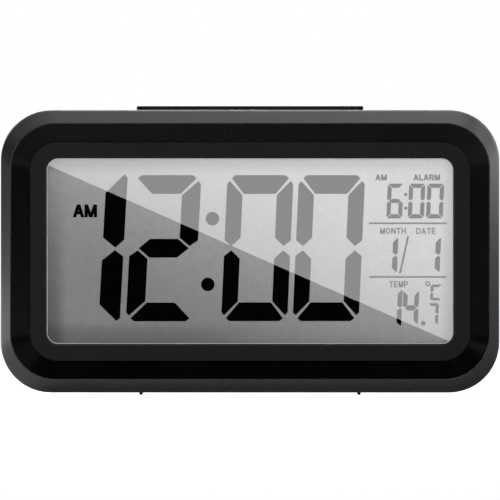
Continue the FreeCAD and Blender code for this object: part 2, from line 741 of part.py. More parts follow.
def rear_case():
    """Rear half: bay, key panel, switch pockets, screw wells, snooze collar and grille."""
    solid, body = rear_shell()
    pad = WALL - PANEL_D
    added = battery_bay()
    added.append(panel(0, PANEL_Z, PANEL_W + 2 * WALL, PANEL_H + 2 * WALL, PANEL_R,
                       PANEL_BACK_Y, INNER_BACK_Y))
    added += [panel(SWITCH_X, z, POCKET_W + 2 * pad, POCKET_H + 2 * pad, POCKET_R, PANEL_BACK_Y, INNER_BACK_Y)
              for z in SWITCH_SPOTS]
    added += [rod(POST_R, x, PANEL_Z, KEY_BOARD_Y, PANEL_BACK_Y) for x in (-KEY_POST_X, KEY_POST_X)]
    added += [rod(PIN_R, x, PANEL_Z, KEY_BOARD_Y - SMALL_BOARD_T - PIN_PROUD, KEY_BOARD_Y)
              for x in (-KEY_POST_X, KEY_POST_X)]
    added.append(rod(BUZZER_R + TONGUE_GAP + BUZZER_RIB, BUZZER_X, BUZZER_Z,
                     INNER_BACK_Y - BUZZER_T / 2, INNER_BACK_Y))
    added += [rod(WELL_R + WELL_WALL, x, z, BOSS_END_Y, BACK_Y) for x, z in BOSS_SPOTS]
    collar_w = SNOOZE_W + 2 * (SLOT_GAP + COLLAR_W)
    collar_d = SNOOZE_D + 2 * (SLOT_GAP + COLLAR_W)
    added.append(block(-collar_w / 2, collar_w / 2, SNOOZE_Y - collar_d / 2, SNOOZE_Y + collar_d / 2,
                       COLLAR_Z, TOP_Z))
    added += [pin(POST_R, x, SNOOZE_Y, SNOOZE_BOARD_TOP, TOP_Z) for x in (-SNOOZE_POST_X, SNOOZE_POST_X)]
    added += [pin(PIN_R, x, SNOOZE_Y, SNOOZE_BOARD_TOP - SMALL_BOARD_T - PIN_PROUD, SNOOZE_BOARD_TOP)
              for x in (-SNOOZE_POST_X, SNOOZE_POST_X)]
    added += [block(x - PROP_T / 2, x + PROP_T / 2, BAY_FLOOR_Y - BAY_WALL, INNER_BACK_Y, FOOT_H, DOOR_LOW)
              for x in spots(PROP_COUNT, PROP_PITCH)]
    body = join(body, [shape.common(solid) for shape in added])

    removed = [centred(0, BAY_MID_Z, BAY_W, BAY_H, BAY_FLOOR_Y, BACK_Y)]
    removed += [centred(x, BAY_MID_Z, CONTACT_T + 2 * TAIL_GAP, TAIL_W + 2 * TAIL_GAP,
                        BAY_FLOOR_Y - BAY_WALL, BAY_FLOOR_Y) for x in (-TAIL_X, TAIL_X)]
    removed.append(panel(0, BAY_MID_Z, DOOR_W + 2 * DOOR_GAP, DOOR_H + 2 * DOOR_GAP, DOOR_R + DOOR_GAP,
                         INNER_BACK_Y, BACK_Y))
    swing = math.hypot(DOOR_T, TAB_L) + TAB_GAP
    tab_room = TAB_W / 2 + DOOR_GAP
    removed += [block(x - tab_room, x + tab_room, BACK_Y - swing, BACK_Y - TAB_SKIN,
                      DOOR_LOW - TAB_L - DOOR_GAP, DOOR_LOW + DOOR_LAP + TAB_GAP)
                for x in spots(2, TAB_PITCH)]
    removed.append(panel(0, PANEL_Z, PANEL_W, PANEL_H, PANEL_R, PANEL_FLOOR_Y, BACK_Y))
    removed += [panel(x, PANEL_Z, KEY_W + 2 * KEY_GAP, KEY_H + 2 * KEY_GAP, KEY_R + KEY_GAP,
                      PANEL_BACK_Y, PANEL_FLOOR_Y) for x in KEY_SPOTS]
    lever_room = LEVER_W + SWITCH_TRAVEL + 2 * LEVER_GAP
    for z in SWITCH_SPOTS:
        removed.append(panel(SWITCH_X, z, POCKET_W, POCKET_H, POCKET_R, PANEL_FLOOR_Y, BACK_Y))
        removed.append(centred(SWITCH_X, z, lever_room, LEVER_H + 2 * LEVER_GAP, PANEL_BACK_Y, PANEL_FLOOR_Y))
    removed.append(rod(BUZZER_R + TONGUE_GAP, BUZZER_X, BUZZER_Z, INNER_BACK_Y - BUZZER_T, INNER_BACK_Y))
    removed += [slot(x, BUZZER_Z, SLIT_W, SLIT_L, INNER_BACK_Y, BACK_Y)
                for x in spots(SLIT_COUNT, SLIT_PITCH, BUZZER_X)]
    removed += [slot(x, AIR_Z, SLIT_W, AIR_SLIT_L, INNER_BACK_Y, BACK_Y)
                for x in spots(AIR_SLIT_COUNT, SLIT_PITCH, SWITCH_X)]
    for x, z in BOSS_SPOTS:
        removed.append(rod(WELL_R, x, z, HEAD_SEAT_Y, BACK_Y))
        removed.append(rod(HOLE_R, x, z, BOSS_END_Y, HEAD_SEAT_Y))
    mouth = snooze_plan(SLOT_GAP, COLLAR_Z, TOP_Z)
    return join(body.cut(removed + [mouth]), bay_ridges())


def snooze_plan(grow, low, high):
    """Upright block with the snooze bar's plan, grown evenly."""
    half_w = SNOOZE_W / 2 + grow
    half_d = SNOOZE_D / 2 + grow
    body = block(-half_w, half_w, SNOOZE_Y - half_d, SNOOZE_Y + half_d, low, high)
    upright = [e for e in body.Edges if e.BoundBox.ZLength > high - low - 0.01]
    return body.makeFillet(SNOOZE_CORNER_R + grow, upright)


def snooze_button():
    """Hollow snooze bar with a crowned top, a catch flange, a plunger and spring spigots."""
    body = snooze_plan(0.0, SNOOZE_LOW, SNOOZE_TOP)
    start = Vector(-SNOOZE_W / 2, SNOOZE_Y, SNOOZE_TOP - SNOOZE_CROWN_R)
    crown = Part.makeCylinder(SNOOZE_CROWN_R, SNOOZE_W, start, Vector(1, 0, 0))
    body = body.common(crown)
    rim = [e for e in body.Edges if e.BoundBox.ZMin > SNOOZE_TOP - SNOOZE_SKIN]
    body = body.makeFillet(SNOOZE_EDGE_R, rim)
    flange = snooze_plan(SNOOZE_FLANGE_W, SNOOZE_LOW, SNOOZE_FLANGE_TOP)
    hollow = snooze_plan(-SNOOZE_SKIN, SNOOZE_LOW, SNOOZE_ROOF)
    body = join(body, [flange]).cut(hollow)
    plungers = [pin(PLUNGER_R, x, SNOOZE_Y, SNOOZE_LOW, SNOOZE_ROOF) for x in spots(DOME_COUNT, DOME_PITCH)]
    reach = SNOOZE_D / 2 - SNOOZE_SKIN
    rib_low = SNOOZE_ROOF - RIB_H
    ribs = [block(x - RIB_T / 2, x + RIB_T / 2, SNOOZE_Y - reach, SNOOZE_Y + reach, rib_low, SNOOZE_ROOF)
            for x in spots(DOME_COUNT - 1, DOME_PITCH)]
    return join(body, plungers + ribs)


def snooze_board():
    """Small board under the snooze bar, on the pins of two posts."""
    half_w = SNOOZE_POST_X + POST_R
    body = block(-half_w, half_w, SNOOZE_Y - SNOOZE_BOARD_D / 2, SNOOZE_Y + SNOOZE_BOARD_D / 2,
                 SNOOZE_BOARD_TOP - SMALL_BOARD_T, SNOOZE_BOARD_TOP)
    return body.cut([pin(PIN_R + THREAD_GAP, x, SNOOZE_Y, SNOOZE_BOARD_TOP - SMALL_BOARD_T, SNOOZE_BOARD_TOP)
                     for x in (-SNOOZE_POST_X, SNOOZE_POST_X)])


def snooze_pad():
    """Silicone strip with a dome under each plunger."""
    half_w = (DOME_COUNT - 1) * DOME_PITCH / 2 + DOME_R + STRIP_EDGE
    half_d = SNOOZE_BOARD_D / 2 - STRIP_EDGE
    body = block(-half_w, half_w, SNOOZE_Y - half_d, SNOOZE_Y + half_d, SNOOZE_BOARD_TOP, SNOOZE_PAD_TOP)
    domes = [Part.makeCone(DOME_R, DOME_TIP_R, DOME_H, Vector(x, SNOOZE_Y, SNOOZE_PAD_TOP), Vector(0, 0, 1))
             for x in spots(DOME_COUNT, DOME_PITCH)]
    return join(body, domes)


# ---------------------------------------------------------------- keys and switches
def key_cap(x):
    """Key with a domed face and a flange that stays behind the panel."""
    body = panel(x, PANEL_Z, KEY_W, KEY_H, KEY_R, KEY_END_Y, BACK_Y - KEY_SUNK)
    rim = [e for e in body.Edges if e.BoundBox.YMin > BACK_Y - KEY_SUNK - 1e-4]
    body = body.makeChamfer(KEY_EDGE, rim)
    flange = panel(x, PANEL_Z, KEY_W + 2 * (KEY_GAP + KEY_FLANGE_W), KEY_H + 2 * (KEY_GAP + KEY_FLANGE_W),
                   KEY_R, KEY_END_Y, KEY_END_Y + KEY_FLANGE_T)
    return join(body, [flange])


def switch_housing(z):
    """Metal shell of a slide switch, open at the slot for its lever."""
    front = PANEL_BACK_Y
    body = centred(SWITCH_X, z, SWITCH_W, SWITCH_H, front - SWITCH_D, front)
    room = centred(SWITCH_X, z, SWITCH_W - 2 * SWITCH_SHELL, SWITCH_H - 2 * SWITCH_SHELL,
                   front - SWITCH_D + SWITCH_SHELL, front - SWITCH_SHELL)
    lever_room = LEVER_W + SWITCH_TRAVEL + 2 * LEVER_GAP
    mouth = centred(SWITCH_X, z, lever_room, LEVER_H + 2 * LEVER_GAP, front - SWITCH_SHELL, front)
    return body.cut([room, mouth])


def switch_lever(z):
    """Lever at the left end of its slot, with a slider inside the shell."""
    x = SWITCH_X - SWITCH_TRAVEL / 2
    front = PANEL_BACK_Y
    stem = centred(x, z, LEVER_W, LEVER_H, front - SWITCH_SHELL - LEVER_GAP, BACK_Y - KEY_SUNK)
    slider = centred(x, z, SLIDER_W, SWITCH_H - 2 * SWITCH_SHELL - 2 * LEVER_GAP,
                     front - SWITCH_D + SWITCH_SHELL + LEVER_GAP, front - SWITCH_SHELL - LEVER_GAP)
    top = [e for e in stem.Edges if e.BoundBox.YMin > BACK_Y - KEY_SUNK - 1e-4]
    return join(stem.makeChamfer(KEY_EDGE, top), [slider])


# ---------------------------------------------------------------- power
def cell(z, turned):
    """AAA cell lying along X, with its nub to the left or the right."""
    side = -1 if turned else 1
    base = Vector(-side * CELL_L / 2, CELL_Y, z)
    can = Part.makeCylinder(CELL_R, CELL_L - CELL_NUB_L, base, Vector(side, 0, 0))
    can = can.makeChamfer(CELL_EDGE, [e for e in can.Edges if e.BoundBox.XLength < 1e-4])
    start = Vector(side * (CELL_L / 2 - CELL_NUB_L), CELL_Y, z)
    nub = Part.makeCylinder(CELL_NUB_R, CELL_NUB_L, start, Vector(side, 0, 0))
    return join(can, [nub])


def contact_strip(side):
    """Sprung contact plate at one end of the bay, with a bowed leaf for each cell."""
    outer = side * BAY_W / 2
    inner = outer - side * CONTACT_T
    body = block(min(outer, inner), max(outer, inner), BAY_FLOOR_Y, BAY_FLOOR_Y + 2 * CELL_R,
                 BAY_MID_Z - BAY_H / 2 + CELL_GAP, BAY_MID_Z + BAY_H / 2 - CELL_GAP)
    rise = CONTACT_ROOM - LEAF_GAP
    radius = (LEAF_REACH ** 2 + rise ** 2) / (2 * rise)
    leaves = []
    for z in CELL_SPOTS:
        middle = Vector(inner - side * (rise - radius), CELL_Y, z - LEAF_W / 2)
        ring = Part.makeCylinder(radius, LEAF_W, middle, Vector(0, 0, 1))
        ring = ring.cut(Part.makeCylinder(radius - CONTACT_T, LEAF_W, middle, Vector(0, 0, 1)))
        far = inner - side * 2 * rise
        bow = block(min(inner, far), max(inner, far), CELL_Y - LEAF_REACH, CELL_Y + LEAF_REACH,
                    z - LEAF_W / 2, z + LEAF_W / 2)
        leaves.append(ring.common(bow))
    tail = centred((outer + inner) / 2, BAY_MID_Z, CONTACT_T, TAIL_W, TAIL_Y, BAY_FLOOR_Y)
    return join(body, leaves + [tail])


def battery_door():
    """Door with two tabs below, a sprung latch tongue above, grip grooves and a sunk arrow."""
    body = panel(0, BAY_MID_Z, DOOR_W, DOOR_H, DOOR_R, DOOR_Y, BACK_Y)
    slits = [block(x - LATCH_SLIT / 2, x + LATCH_SLIT / 2, DOOR_Y, BACK_Y, DOOR_TOP - LATCH_L, DOOR_TOP)
             for x in spots(2, LATCH_W + LATCH_SLIT)]
    grooves = [Part.makeCylinder(GRIP_R, GRIP_L, Vector(-GRIP_L / 2, BACK_Y + GRIP_LIFT, z), Vector(1, 0, 0))
               for z in spots(GRIP_COUNT, GRIP_PITCH, DOOR_TOP - GRIP_DROP)]
    base_z = DOOR_TOP - ARROW_DROP
    corners = [Vector(-ARROW_W / 2, BACK_Y - ARROW_D, base_z), Vector(ARROW_W / 2, BACK_Y - ARROW_D, base_z),
               Vector(0, BACK_Y - ARROW_D, base_z - ARROW_H)]
    arrow = slab(Part.makePolygon(corners + corners[:1]), ARROW_D)
    tabs = [block(x - TAB_W / 2, x + TAB_W / 2, DOOR_Y, DOOR_Y + TAB_T, DOOR_LOW - TAB_L, DOOR_LOW)
            for x in spots(2, TAB_PITCH)]
    return join(body.cut(slits + grooves + [arrow]), tabs)


def buzzer():
    """Round buzzer seated in a ring behind the sound slits."""
    body = rod(BUZZER_R, BUZZER_X, BUZZER_Z, INNER_BACK_Y - BUZZER_T, INNER_BACK_Y)
    return body.cut(rod(BUZZER_HOLE_R, BUZZER_X, BUZZER_Z, INNER_BACK_Y - BUZZER_HOLE_R, INNER_BACK_Y))


# ---------------------------------------------------------------- screws and skids
def screw(x, z, seat_y, radius, length, head_r, head_t):
    """Screw driven towards the front, with a rounded head."""
    head = rod(head_r, x, z, seat_y, seat_y + head_t)
    rim = [e for e in head.Edges if e.BoundBox.YMin > seat_y + head_t - 1e-4]
    head = head.makeChamfer(head_t * HEAD_EDGE, rim)
    return join(head, [rod(radius, x, z, seat_y - length, seat_y)])


def skid(x, solid):
    """Narrow runner under the case, tapered to a flat foot."""
    half = SKID_TIP / 2
    rise = FOOT_H + lean(SKID_Y + SKID_L / 2) + SKID_TIP
    wide = half + SKID_SLANT * rise
    y = SKID_Y - SKID_L / 2
    corners = [Vector(x - half, y, 0), Vector(x + half, y, 0), Vector(x + wide, y, rise),
               Vector(x - wide, y, rise)]
    body = Part.Face(Part.makePolygon(corners + corners[:1])).extrude(Vector(0, SKID_L, 0))
    return body.cut(solid)


def main():
    os.makedirs("parts", exist_ok=True)
    save("front_case", front_case())
    save("rear_case", rear_case())
    save("inner_bezel", inner_bezel())
    save("window_pane", window_pane())
    save("lcd_front_film", layer(STACK_Y, FILM_T, GLASS_LOW, GLASS_TOP, FILM_INSET))
    save("lcd_front_glass", layer(GLASS_FRONT_Y, GLASS_T, LEDGE_LOW, GLASS_TOP))
    save("lcd_rear_glass", layer(GLASS_REAR_Y, GLASS_T, GLASS_LOW, GLASS_TOP))
    save("lcd_reflector", layer(REFLECTOR_Y, FILM_T, GLASS_LOW, GLASS_TOP, FILM_INSET))
    save("light_guide", light_guide())
    save("backlight_lamp", backlight_lamp())
    save("lcd_holder", lcd_holder())
    save("zebra_strip", zebra_strip())
    save("main_board", main_board())
    save("chip_cover", chip_cover())
    save("crystal_can", crystal_can())
    save("reservoir_capacitor", reservoir_capacitor())
    save("thermistor", thermistor())
    save("ribbon_cable", ribbon_cable())
    save("key_board", key_board())
    save("key_pad", key_pad())
    for name, x in zip(KEY_NAMES, KEY_SPOTS):
        save(name, key_cap(x))
    for name, z in zip(SWITCH_NAMES, SWITCH_SPOTS):
        save(name + "_switch_housing", switch_housing(z))
        save(name + "_switch_lever", switch_lever(z))
    save("snooze_button", snooze_button())
    save("snooze_board", snooze_board())
    save("snooze_pad", snooze_pad())
    for i, (name, z) in enumerate(zip(CELL_NAMES, CELL_SPOTS)):
        save(name, cell(z, i % 2 == 1))
    save("left_contact_strip", contact_strip(-1))
    save("right_contact_strip", contact_strip(1))
    save("battery_door", battery_door())
    save("red_battery_lead", battery_lead(1))
    save("black_battery_lead", battery_lead(-1))
    save("buzzer", buzzer())
    save("buzzer_leads", *[board_lead(x, INNER_BACK_Y - BUZZER_T, BUZZER_Z, x + LEAD_SHIFT, BUZZER_Z)
                           for x in spots(2, LEAD_PITCH, BUZZER_X)])
    save("snooze_leads", *[snooze_lead(x) for x in spots(2, LEAD_PITCH, SNOOZE_LEAD_X)])
    small = (SMALL_SCREW_R, SMALL_SCREW_L, SMALL_HEAD_R, SMALL_HEAD_T)
    save("case_screws", *[screw(x, z, HEAD_SEAT_Y, SCREW_R, SCREW_L, SCREW_HEAD_R, SCREW_HEAD_T)
                          for x, z in BOSS_SPOTS])
    save("holder_screws", *[screw(x, z, LUG_Y + HOLDER_FLOOR, *small) for x, z in LUG_SPOTS])
    save("board_screws", *[screw(x, z, BOARD_BACK_Y, *small) for x, z in BOARD_SPOTS])
    solid, shell = rear_shell()
    save("left_skid", skid(-SKID_X, solid))
    save("right_skid", skid(SKID_X, solid))


main()
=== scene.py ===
import math

import bmesh
import bpy
import numpy as np
from bpy.props import FloatProperty, FloatVectorProperty, PointerProperty
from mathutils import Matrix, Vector


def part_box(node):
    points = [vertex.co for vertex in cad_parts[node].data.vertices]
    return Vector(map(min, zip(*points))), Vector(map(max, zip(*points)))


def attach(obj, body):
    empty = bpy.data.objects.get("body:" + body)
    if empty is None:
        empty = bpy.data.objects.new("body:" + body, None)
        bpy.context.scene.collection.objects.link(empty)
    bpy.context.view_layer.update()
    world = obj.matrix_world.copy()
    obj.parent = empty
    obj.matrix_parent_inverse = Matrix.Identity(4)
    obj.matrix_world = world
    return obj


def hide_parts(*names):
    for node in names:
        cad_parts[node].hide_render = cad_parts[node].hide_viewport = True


bl_info = {
    "name": "Digital desk clock",
    "version": (1, 0, 0),
    "blender": (4, 5, 0),
    "location": "View3D > Sidebar > Clock",
    "description": "Case, display, keys and finishes of a digital desk clock on its packed parts",
    "category": "Add Mesh",
}

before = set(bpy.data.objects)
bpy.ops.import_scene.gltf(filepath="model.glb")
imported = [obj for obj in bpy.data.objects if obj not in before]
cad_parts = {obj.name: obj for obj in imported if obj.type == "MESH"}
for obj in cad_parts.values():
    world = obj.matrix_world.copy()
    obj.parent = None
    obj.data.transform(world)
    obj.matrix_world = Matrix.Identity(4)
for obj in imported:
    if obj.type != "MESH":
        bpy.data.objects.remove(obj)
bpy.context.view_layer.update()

MM = 0.001

# Case, in millimetres. An outline row is (side, bottom, top, corner radius, depth):
# how far it lies inside the widest outline on each side, its corner radius and its y.
CASE_LOW, CASE_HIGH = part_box("front_case")
CASE_HALF_W = CASE_HIGH.x / MM
CASE_FOOT_Z = CASE_LOW.z / MM
CASE_TOP_Z = CASE_HIGH.z / MM
CASE_MIDDLE_Z = (CASE_FOOT_Z + CASE_TOP_Z) / 2
FRONT_Y = CASE_LOW.y / MM
EDGE_Y = FRONT_Y + 4.0
RECESS_Y = FRONT_Y + 3.6
FLANGE_Y = RECESS_Y + 2.0
HOLLOW_Y = FLANGE_Y - 3.1
PARTING_Y = FRONT_Y + 10.5
TONGUE_Y = PARTING_Y + 1.4
BOSS_END_Y = CASE_HIGH.y / MM
CORNER_R = 13.6
DRAFT = math.tan(math.radians(2.5))
WALL = 2.0
TONGUE_INSET = WALL - 0.9
EDGE = (0.0, -0.17, -0.14, CORNER_R)
CREST = (2.63, 3.38, 3.49, 12.2)
CREST_INNER = (2.88, 3.63, 3.74, 11.95)
OPENING = (7.83, 8.41, 8.49, 7.6)
WINDOW = (12.51, 13.07, 13.02, 3.1)
WINDOW_Z = (CASE_FOOT_Z + WINDOW[1] + CASE_TOP_Z - WINDOW[2]) / 2
WINDOW_HALF_W = CASE_HALF_W - WINDOW[0]
WINDOW_HALF_H = CASE_TOP_Z - WINDOW[2] - WINDOW_Z
PANE_Y = RECESS_Y + 0.6
BOSS_SPOTS = [(x, z) for x in (-60.6, 60.6) for z in (17.0, 61.0)]
BOSS_R, BOSS_BORE_R = 3.2, 1.33
LUG_SPOTS = [(x, z) for x in (-40.0, 40.0) for z in (4.91, 72.91)]
LUG_R, LUG_BORE_R, LUG_END_Y = 2.3, 0.93, FLANGE_Y + 2.9

# Rounding of edges that show and of edges inside the case, and how far a sign or digit
# reaches below the face that carries it, in millimetres.
SEEN_EDGE = 0.12
INNER_EDGE = 0.05
SUNK = 0.02

# The frame in image steps: its width, the size of one step at the widest outline in
# millimetres, the step at the window's middle and the height of the camera.
FRAME_STEPS = 500
PIXEL = 0.2707
MIDDLE_STEP = (250.05, 251.0)
CAMERA_Z = 39.29


# ---------------------------------------------------------------- settings
class ClockSizes(bpy.types.PropertyGroup):
    edge_softness: FloatProperty(
        name="Edge softness", description="Rounding of the crest round the display",
        default=0.22 * MM, min=0.0, unit="LENGTH")
    rim_softness: FloatProperty(
        name="Rim softness", description="Rounding of the outer edge of the bevel",
        default=0.8 * MM, min=0.0, unit="LENGTH")
    ink: FloatProperty(
        name="Ink thickness", description="Height of printed signs and display segments",
        default=0.05 * MM, min=0.0, unit="LENGTH")
    label: FloatProperty(
        name="Key sign height", description="Height of the letters beside the keys",
        default=1.6 * MM, min=0.0, unit="LENGTH")
    slant: FloatProperty(
        name="Digit slant", description="Lean of the display digits",
        default=math.radians(2.5), subtype="ANGLE")
    camera: FloatProperty(
        name="Camera distance", description="Distance from the camera to the case",
        default=4.0, min=0.5, unit="LENGTH")


def colour_setting(name, text, value):
    """Colour property with a linear default."""
    return FloatVectorProperty(name=name, description=text, subtype="COLOR", size=3,
                               min=0.0, max=1.0, default=value)


class ClockColours(bpy.types.PropertyGroup):
    case: colour_setting("Case", "Textured plastic of the case", (0.016, 0.016, 0.0165))
    slope: colour_setting("Slope", "Smooth plastic inside the crest", (0.0006, 0.0006, 0.0007))
    bezel: colour_setting("Bezel", "Flat frame round the window", (0.0032, 0.0032, 0.0032))
    button: colour_setting("Buttons", "Snooze bar, keys and levers", (0.0030, 0.0030, 0.0031))
    display: colour_setting("Display", "Ground of the liquid crystal display",
                            (0.455, 0.450, 0.447))
    segment: colour_setting("Segments", "Dark segments of the display", (0.0003, 0.0003, 0.0004))
    sign: colour_setting("Signs", "Printed signs on the back", (0.48, 0.48, 0.47))
    rubber: colour_setting("Rubber", "Skids under the case", (0.012, 0.012, 0.012))
    board: colour_setting("Boards", "Lacquer on the circuit boards", (0.012, 0.09, 0.035))
    cell: colour_setting("Cells", "Sleeve of the cells", (0.02, 0.05, 0.16))


# ---------------------------------------------------------------- surfaces
def box_mm(name):
    """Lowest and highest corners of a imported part, in millimetres."""
    return [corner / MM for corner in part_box(name)]


def grown(row, amount):
    """Outline row grown evenly outwards."""
    return (row[0] - amount, row[1] - amount, row[2] - amount, row[3] + amount)


def wall_row(y, inset):
    """Outline row of the drafted wall at depth y: the inset grows with the draft's tangent."""
    inward = max(y - EDGE_Y, 0.0) * DRAFT + inset
    return (inward, inward, inward, CORNER_R - inward, y)


def soften(rows, radii, closed=False, steps=5):
    """Rounded version of a profile given as rows of numbers.

    Each corner row C becomes points of the curve (1-t)^2 A + 2t(1-t) C + t^2 B, where A and B
    lie at the corner's radius along the rows before and after it, with one more row beyond
    each to hold the flats. No corner takes more than a share of the rows beside it."""
    corner_share, flat_share, flat_reach = 0.42, 0.48, 1.3
    rows = np.asarray(rows, float)
    count = len(rows)
    out = []
    for i, corner in enumerate(rows):
        radius = radii[i]
        if radius <= 0 or (not closed and i in (0, count - 1)):
            out.append(corner)
            continue
        bends, flats = [], []
        for other in (rows[i - 1], rows[(i + 1) % count]):
            step = other - corner
            length = math.hypot(step[:-2].mean(), step[-1])
            reach = min(radius, corner_share * length)
            bends.append(corner + step * reach / length)
            flats.append(corner + step * min(flat_reach * reach, flat_share * length) / length)
        t = np.linspace(0, 1, steps + 1)[:, None]
        curve = (1 - t) ** 2 * bends[0] + 2 * t * (1 - t) * corner + t ** 2 * bends[1]
        out += [flats[0], *curve, flats[1]]
    return np.array(out)


def soften_stack(rows, radii):
    """Rounded version of a profile of (inset, corner radius, height) rows."""
    padded = [(inset, inset, inset, radius, height) for inset, radius, height in rows]
    return soften(padded, radii)[:, [0, 3, 4]]


def ring(half_w, low, high, radius, arc=16, straight=10):
    """Points of rounded rectangles, one row for each entry of the arrays.

    Each corner is centre + radius (cos a, sin a) with a over a quarter turn, and the sides
    are straight blends from the end of one corner to the start of the next, in the order
    right, top, left, bottom."""
    half_w, low, high, radius = (np.asarray(v, float)[:, None, None]
                                 for v in (half_w, low, high, radius))
    sx = np.array([1, 1, -1, -1])[None, :, None]
    up = np.array([0, 1, 1, 0])[None, :, None]
    first = np.radians(np.array([-90, 0, 90, 180]))[None, :, None]
    angle = first + np.linspace(0, math.pi / 2, arc + 1)[None, None]
    u = sx * (half_w - radius) + radius * np.cos(angle)
    v = np.where(up == 1, high - radius, low + radius) + radius * np.sin(angle)
    corners = np.stack([u, v], -1)
    after = np.roll(corners, -1, 1)[:, :, :1]
    t = np.linspace(0, 1, straight + 2)[1:-1][None, None, :, None]
    sides = corners[:, :, -1:] * (1 - t) + after * t
    return np.concatenate([corners, sides], 2).reshape(len(corners), -1, 2)


def circle(radius, around):
    """Points radius (cos a, sin a) with a over a full turn, as two arrays."""
    angle = np.linspace(0, 2 * math.pi, around, endpoint=False)
    return radius * np.cos(angle), radius * np.sin(angle)


class Shell:
    """Collects the grids of one piece, in millimetres."""

    def __init__(self):
        self.points = []
        self.faces = []
        self.count = 0

    def add(self, points, faces):
        """Add points, and faces that count them from their first."""
        self.points.append(np.asarray(points, float).reshape(-1, 3))
        self.faces += [[self.count + i for i in face] for face in faces]
        self.count += len(self.points[-1])
        return self

    def grid(self, points, closed=False, caps=()):
        """Quads over a grid whose second direction is a loop; closed joins the last row to the
        first. A cap closes the first (0) or last (-1) row with one face."""
        rows, columns = points.shape[:2]
        index = np.arange(rows * columns).reshape(rows, columns)
        turned = np.roll(index, -1, 1)
        a, b = (index, np.roll(index, -1, 0)) if closed else (index[:-1], index[1:])
        c, d = (turned, np.roll(turned, -1, 0)) if closed else (turned[:-1], turned[1:])
        faces = np.stack([a, c, d, b], -1).reshape(-1, 4).tolist()
        faces += [index[i].tolist() for i in caps]
        return self.add(points, faces)

    def frame(self, rows, closed=False, caps=()):
        """Rounded frame about the Y axis through outline rows."""
        rows = np.asarray(rows, float)
        flat = ring(CASE_HALF_W - rows[:, 0], CASE_FOOT_Z + rows[:, 1],
                    CASE_TOP_Z - rows[:, 2], rows[:, 3])
        depth = np.broadcast_to(rows[:, 4, None], flat.shape[:2])
        return self.grid(np.stack([flat[..., 0], depth, flat[..., 1]], -1), closed, caps)

    def stack(self, rows, middle, size, bend, arc, straight, upright=False):
        """Rounded slab through rows (inset, corner radius, height) about a middle: flat on the
        XZ plane and rising along Y, or upright and rising along Z. bend lowers each point by a
        function of its place and inset."""
        half_u, half_v = size[0] / 2 - rows[:, 0], size[1] / 2 - rows[:, 0]
        flat = ring(half_u, -half_v, half_v, np.minimum(rows[:, 1], half_v), arc, straight)
        height = np.broadcast_to(rows[:, 2, None], flat.shape[:2])
        height = height - bend(flat[..., 0], flat[..., 1], rows[:, 0, None])
        u, v = flat[..., 0] + middle[0], flat[..., 1] + middle[1]
        return self.grid(np.stack([u, v, height] if upright else [u, height, v], -1))

    def lathe(self, profile, middle, upright=False, around=32):
        """Profile of (radius, height) turned round an axis through the middle, along Y or Z."""
        radius, height = np.array(profile, float).T[:, :, None]
        u, v = circle(radius, around)
        height = np.broadcast_to(height, u.shape)
        u, v = middle[0] + u, middle[1] + v
        return self.grid(np.stack([u, v, height] if upright else [u, height, v], -1))

    def prism(self, outline, near, far):
        """Flat outline in the XZ plane between two depths."""
        outline = np.asarray(outline, float)
        n = len(outline)
        layers = [np.stack([outline[:, 0], np.full(n, y), outline[:, 1]], -1) for y in (near, far)]
        faces = [list(range(n)), list(range(2 * n - 1, n - 1, -1))]
        faces += [[i, (i + 1) % n, n + (i + 1) % n, n + i] for i in range(n)]
        return self.add(np.concatenate(layers), faces)

    def make(self, name, body, slot, material, replaces=(), weld=0.0005):
        """Finish the piece: doubles merged, faces turned outwards, placed and given its finish."""
        mesh = bpy.data.meshes.new(name)
        mesh.from_pydata((np.concatenate(self.points) * MM).tolist(), [], self.faces)
        work = bmesh.new()
        work.from_mesh(mesh)
        bmesh.ops.remove_doubles(work, verts=work.verts, dist=weld * MM)
        bmesh.ops.recalc_face_normals(work, faces=work.faces)
        work.to_mesh(mesh)
        work.free()
        piece = placed(bpy.data.objects.new(name, mesh))
        mesh.materials.append(material)
        smooth(piece)
        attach(piece, body)
        if replaces:
            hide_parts(*replaces)
        return piece


def placed(item):
    """Put an object in the scene."""
    bpy.context.scene.collection.objects.link(item)
    return item


def smooth(piece, weld=False):
    """Shade a piece smooth between its sharp edges, its loose faces welded first if asked."""
    sharp_angle, flat_weight, weld_distance = 32.0, 80, 1e-6
    mesh = piece.data
    mesh.polygons.foreach_set("use_smooth", np.ones(len(mesh.polygons), bool))
    if weld:
        piece.modifiers.new("Merge", "WELD").merge_threshold = weld_distance
    split = piece.modifiers.new("Sharp edges", "EDGE_SPLIT")
    split.split_angle = math.radians(sharp_angle)
    split.use_edge_sharp = False
    weighted = piece.modifiers.new("Even shading", "WEIGHTED_NORMAL")
    weighted.mode = "FACE_AREA"
    weighted.weight = flat_weight


def second_finish(piece, material, chosen):
    """Give a second finish to the faces that a test of their middles, in millimetres, and
    normals chooses."""
    piece.data.materials.append(material)
    centres, normals = (np.empty(len(piece.data.polygons) * 3) for _ in range(2))
    piece.data.polygons.foreach_get("center", centres)
    piece.data.polygons.foreach_get("normal", normals)
    picked = chosen(*(centres.reshape(-1, 3) / MM).T, normals.reshape(-1, 3))
    piece.data.polygons.foreach_set("material_index", picked.astype(np.int32))


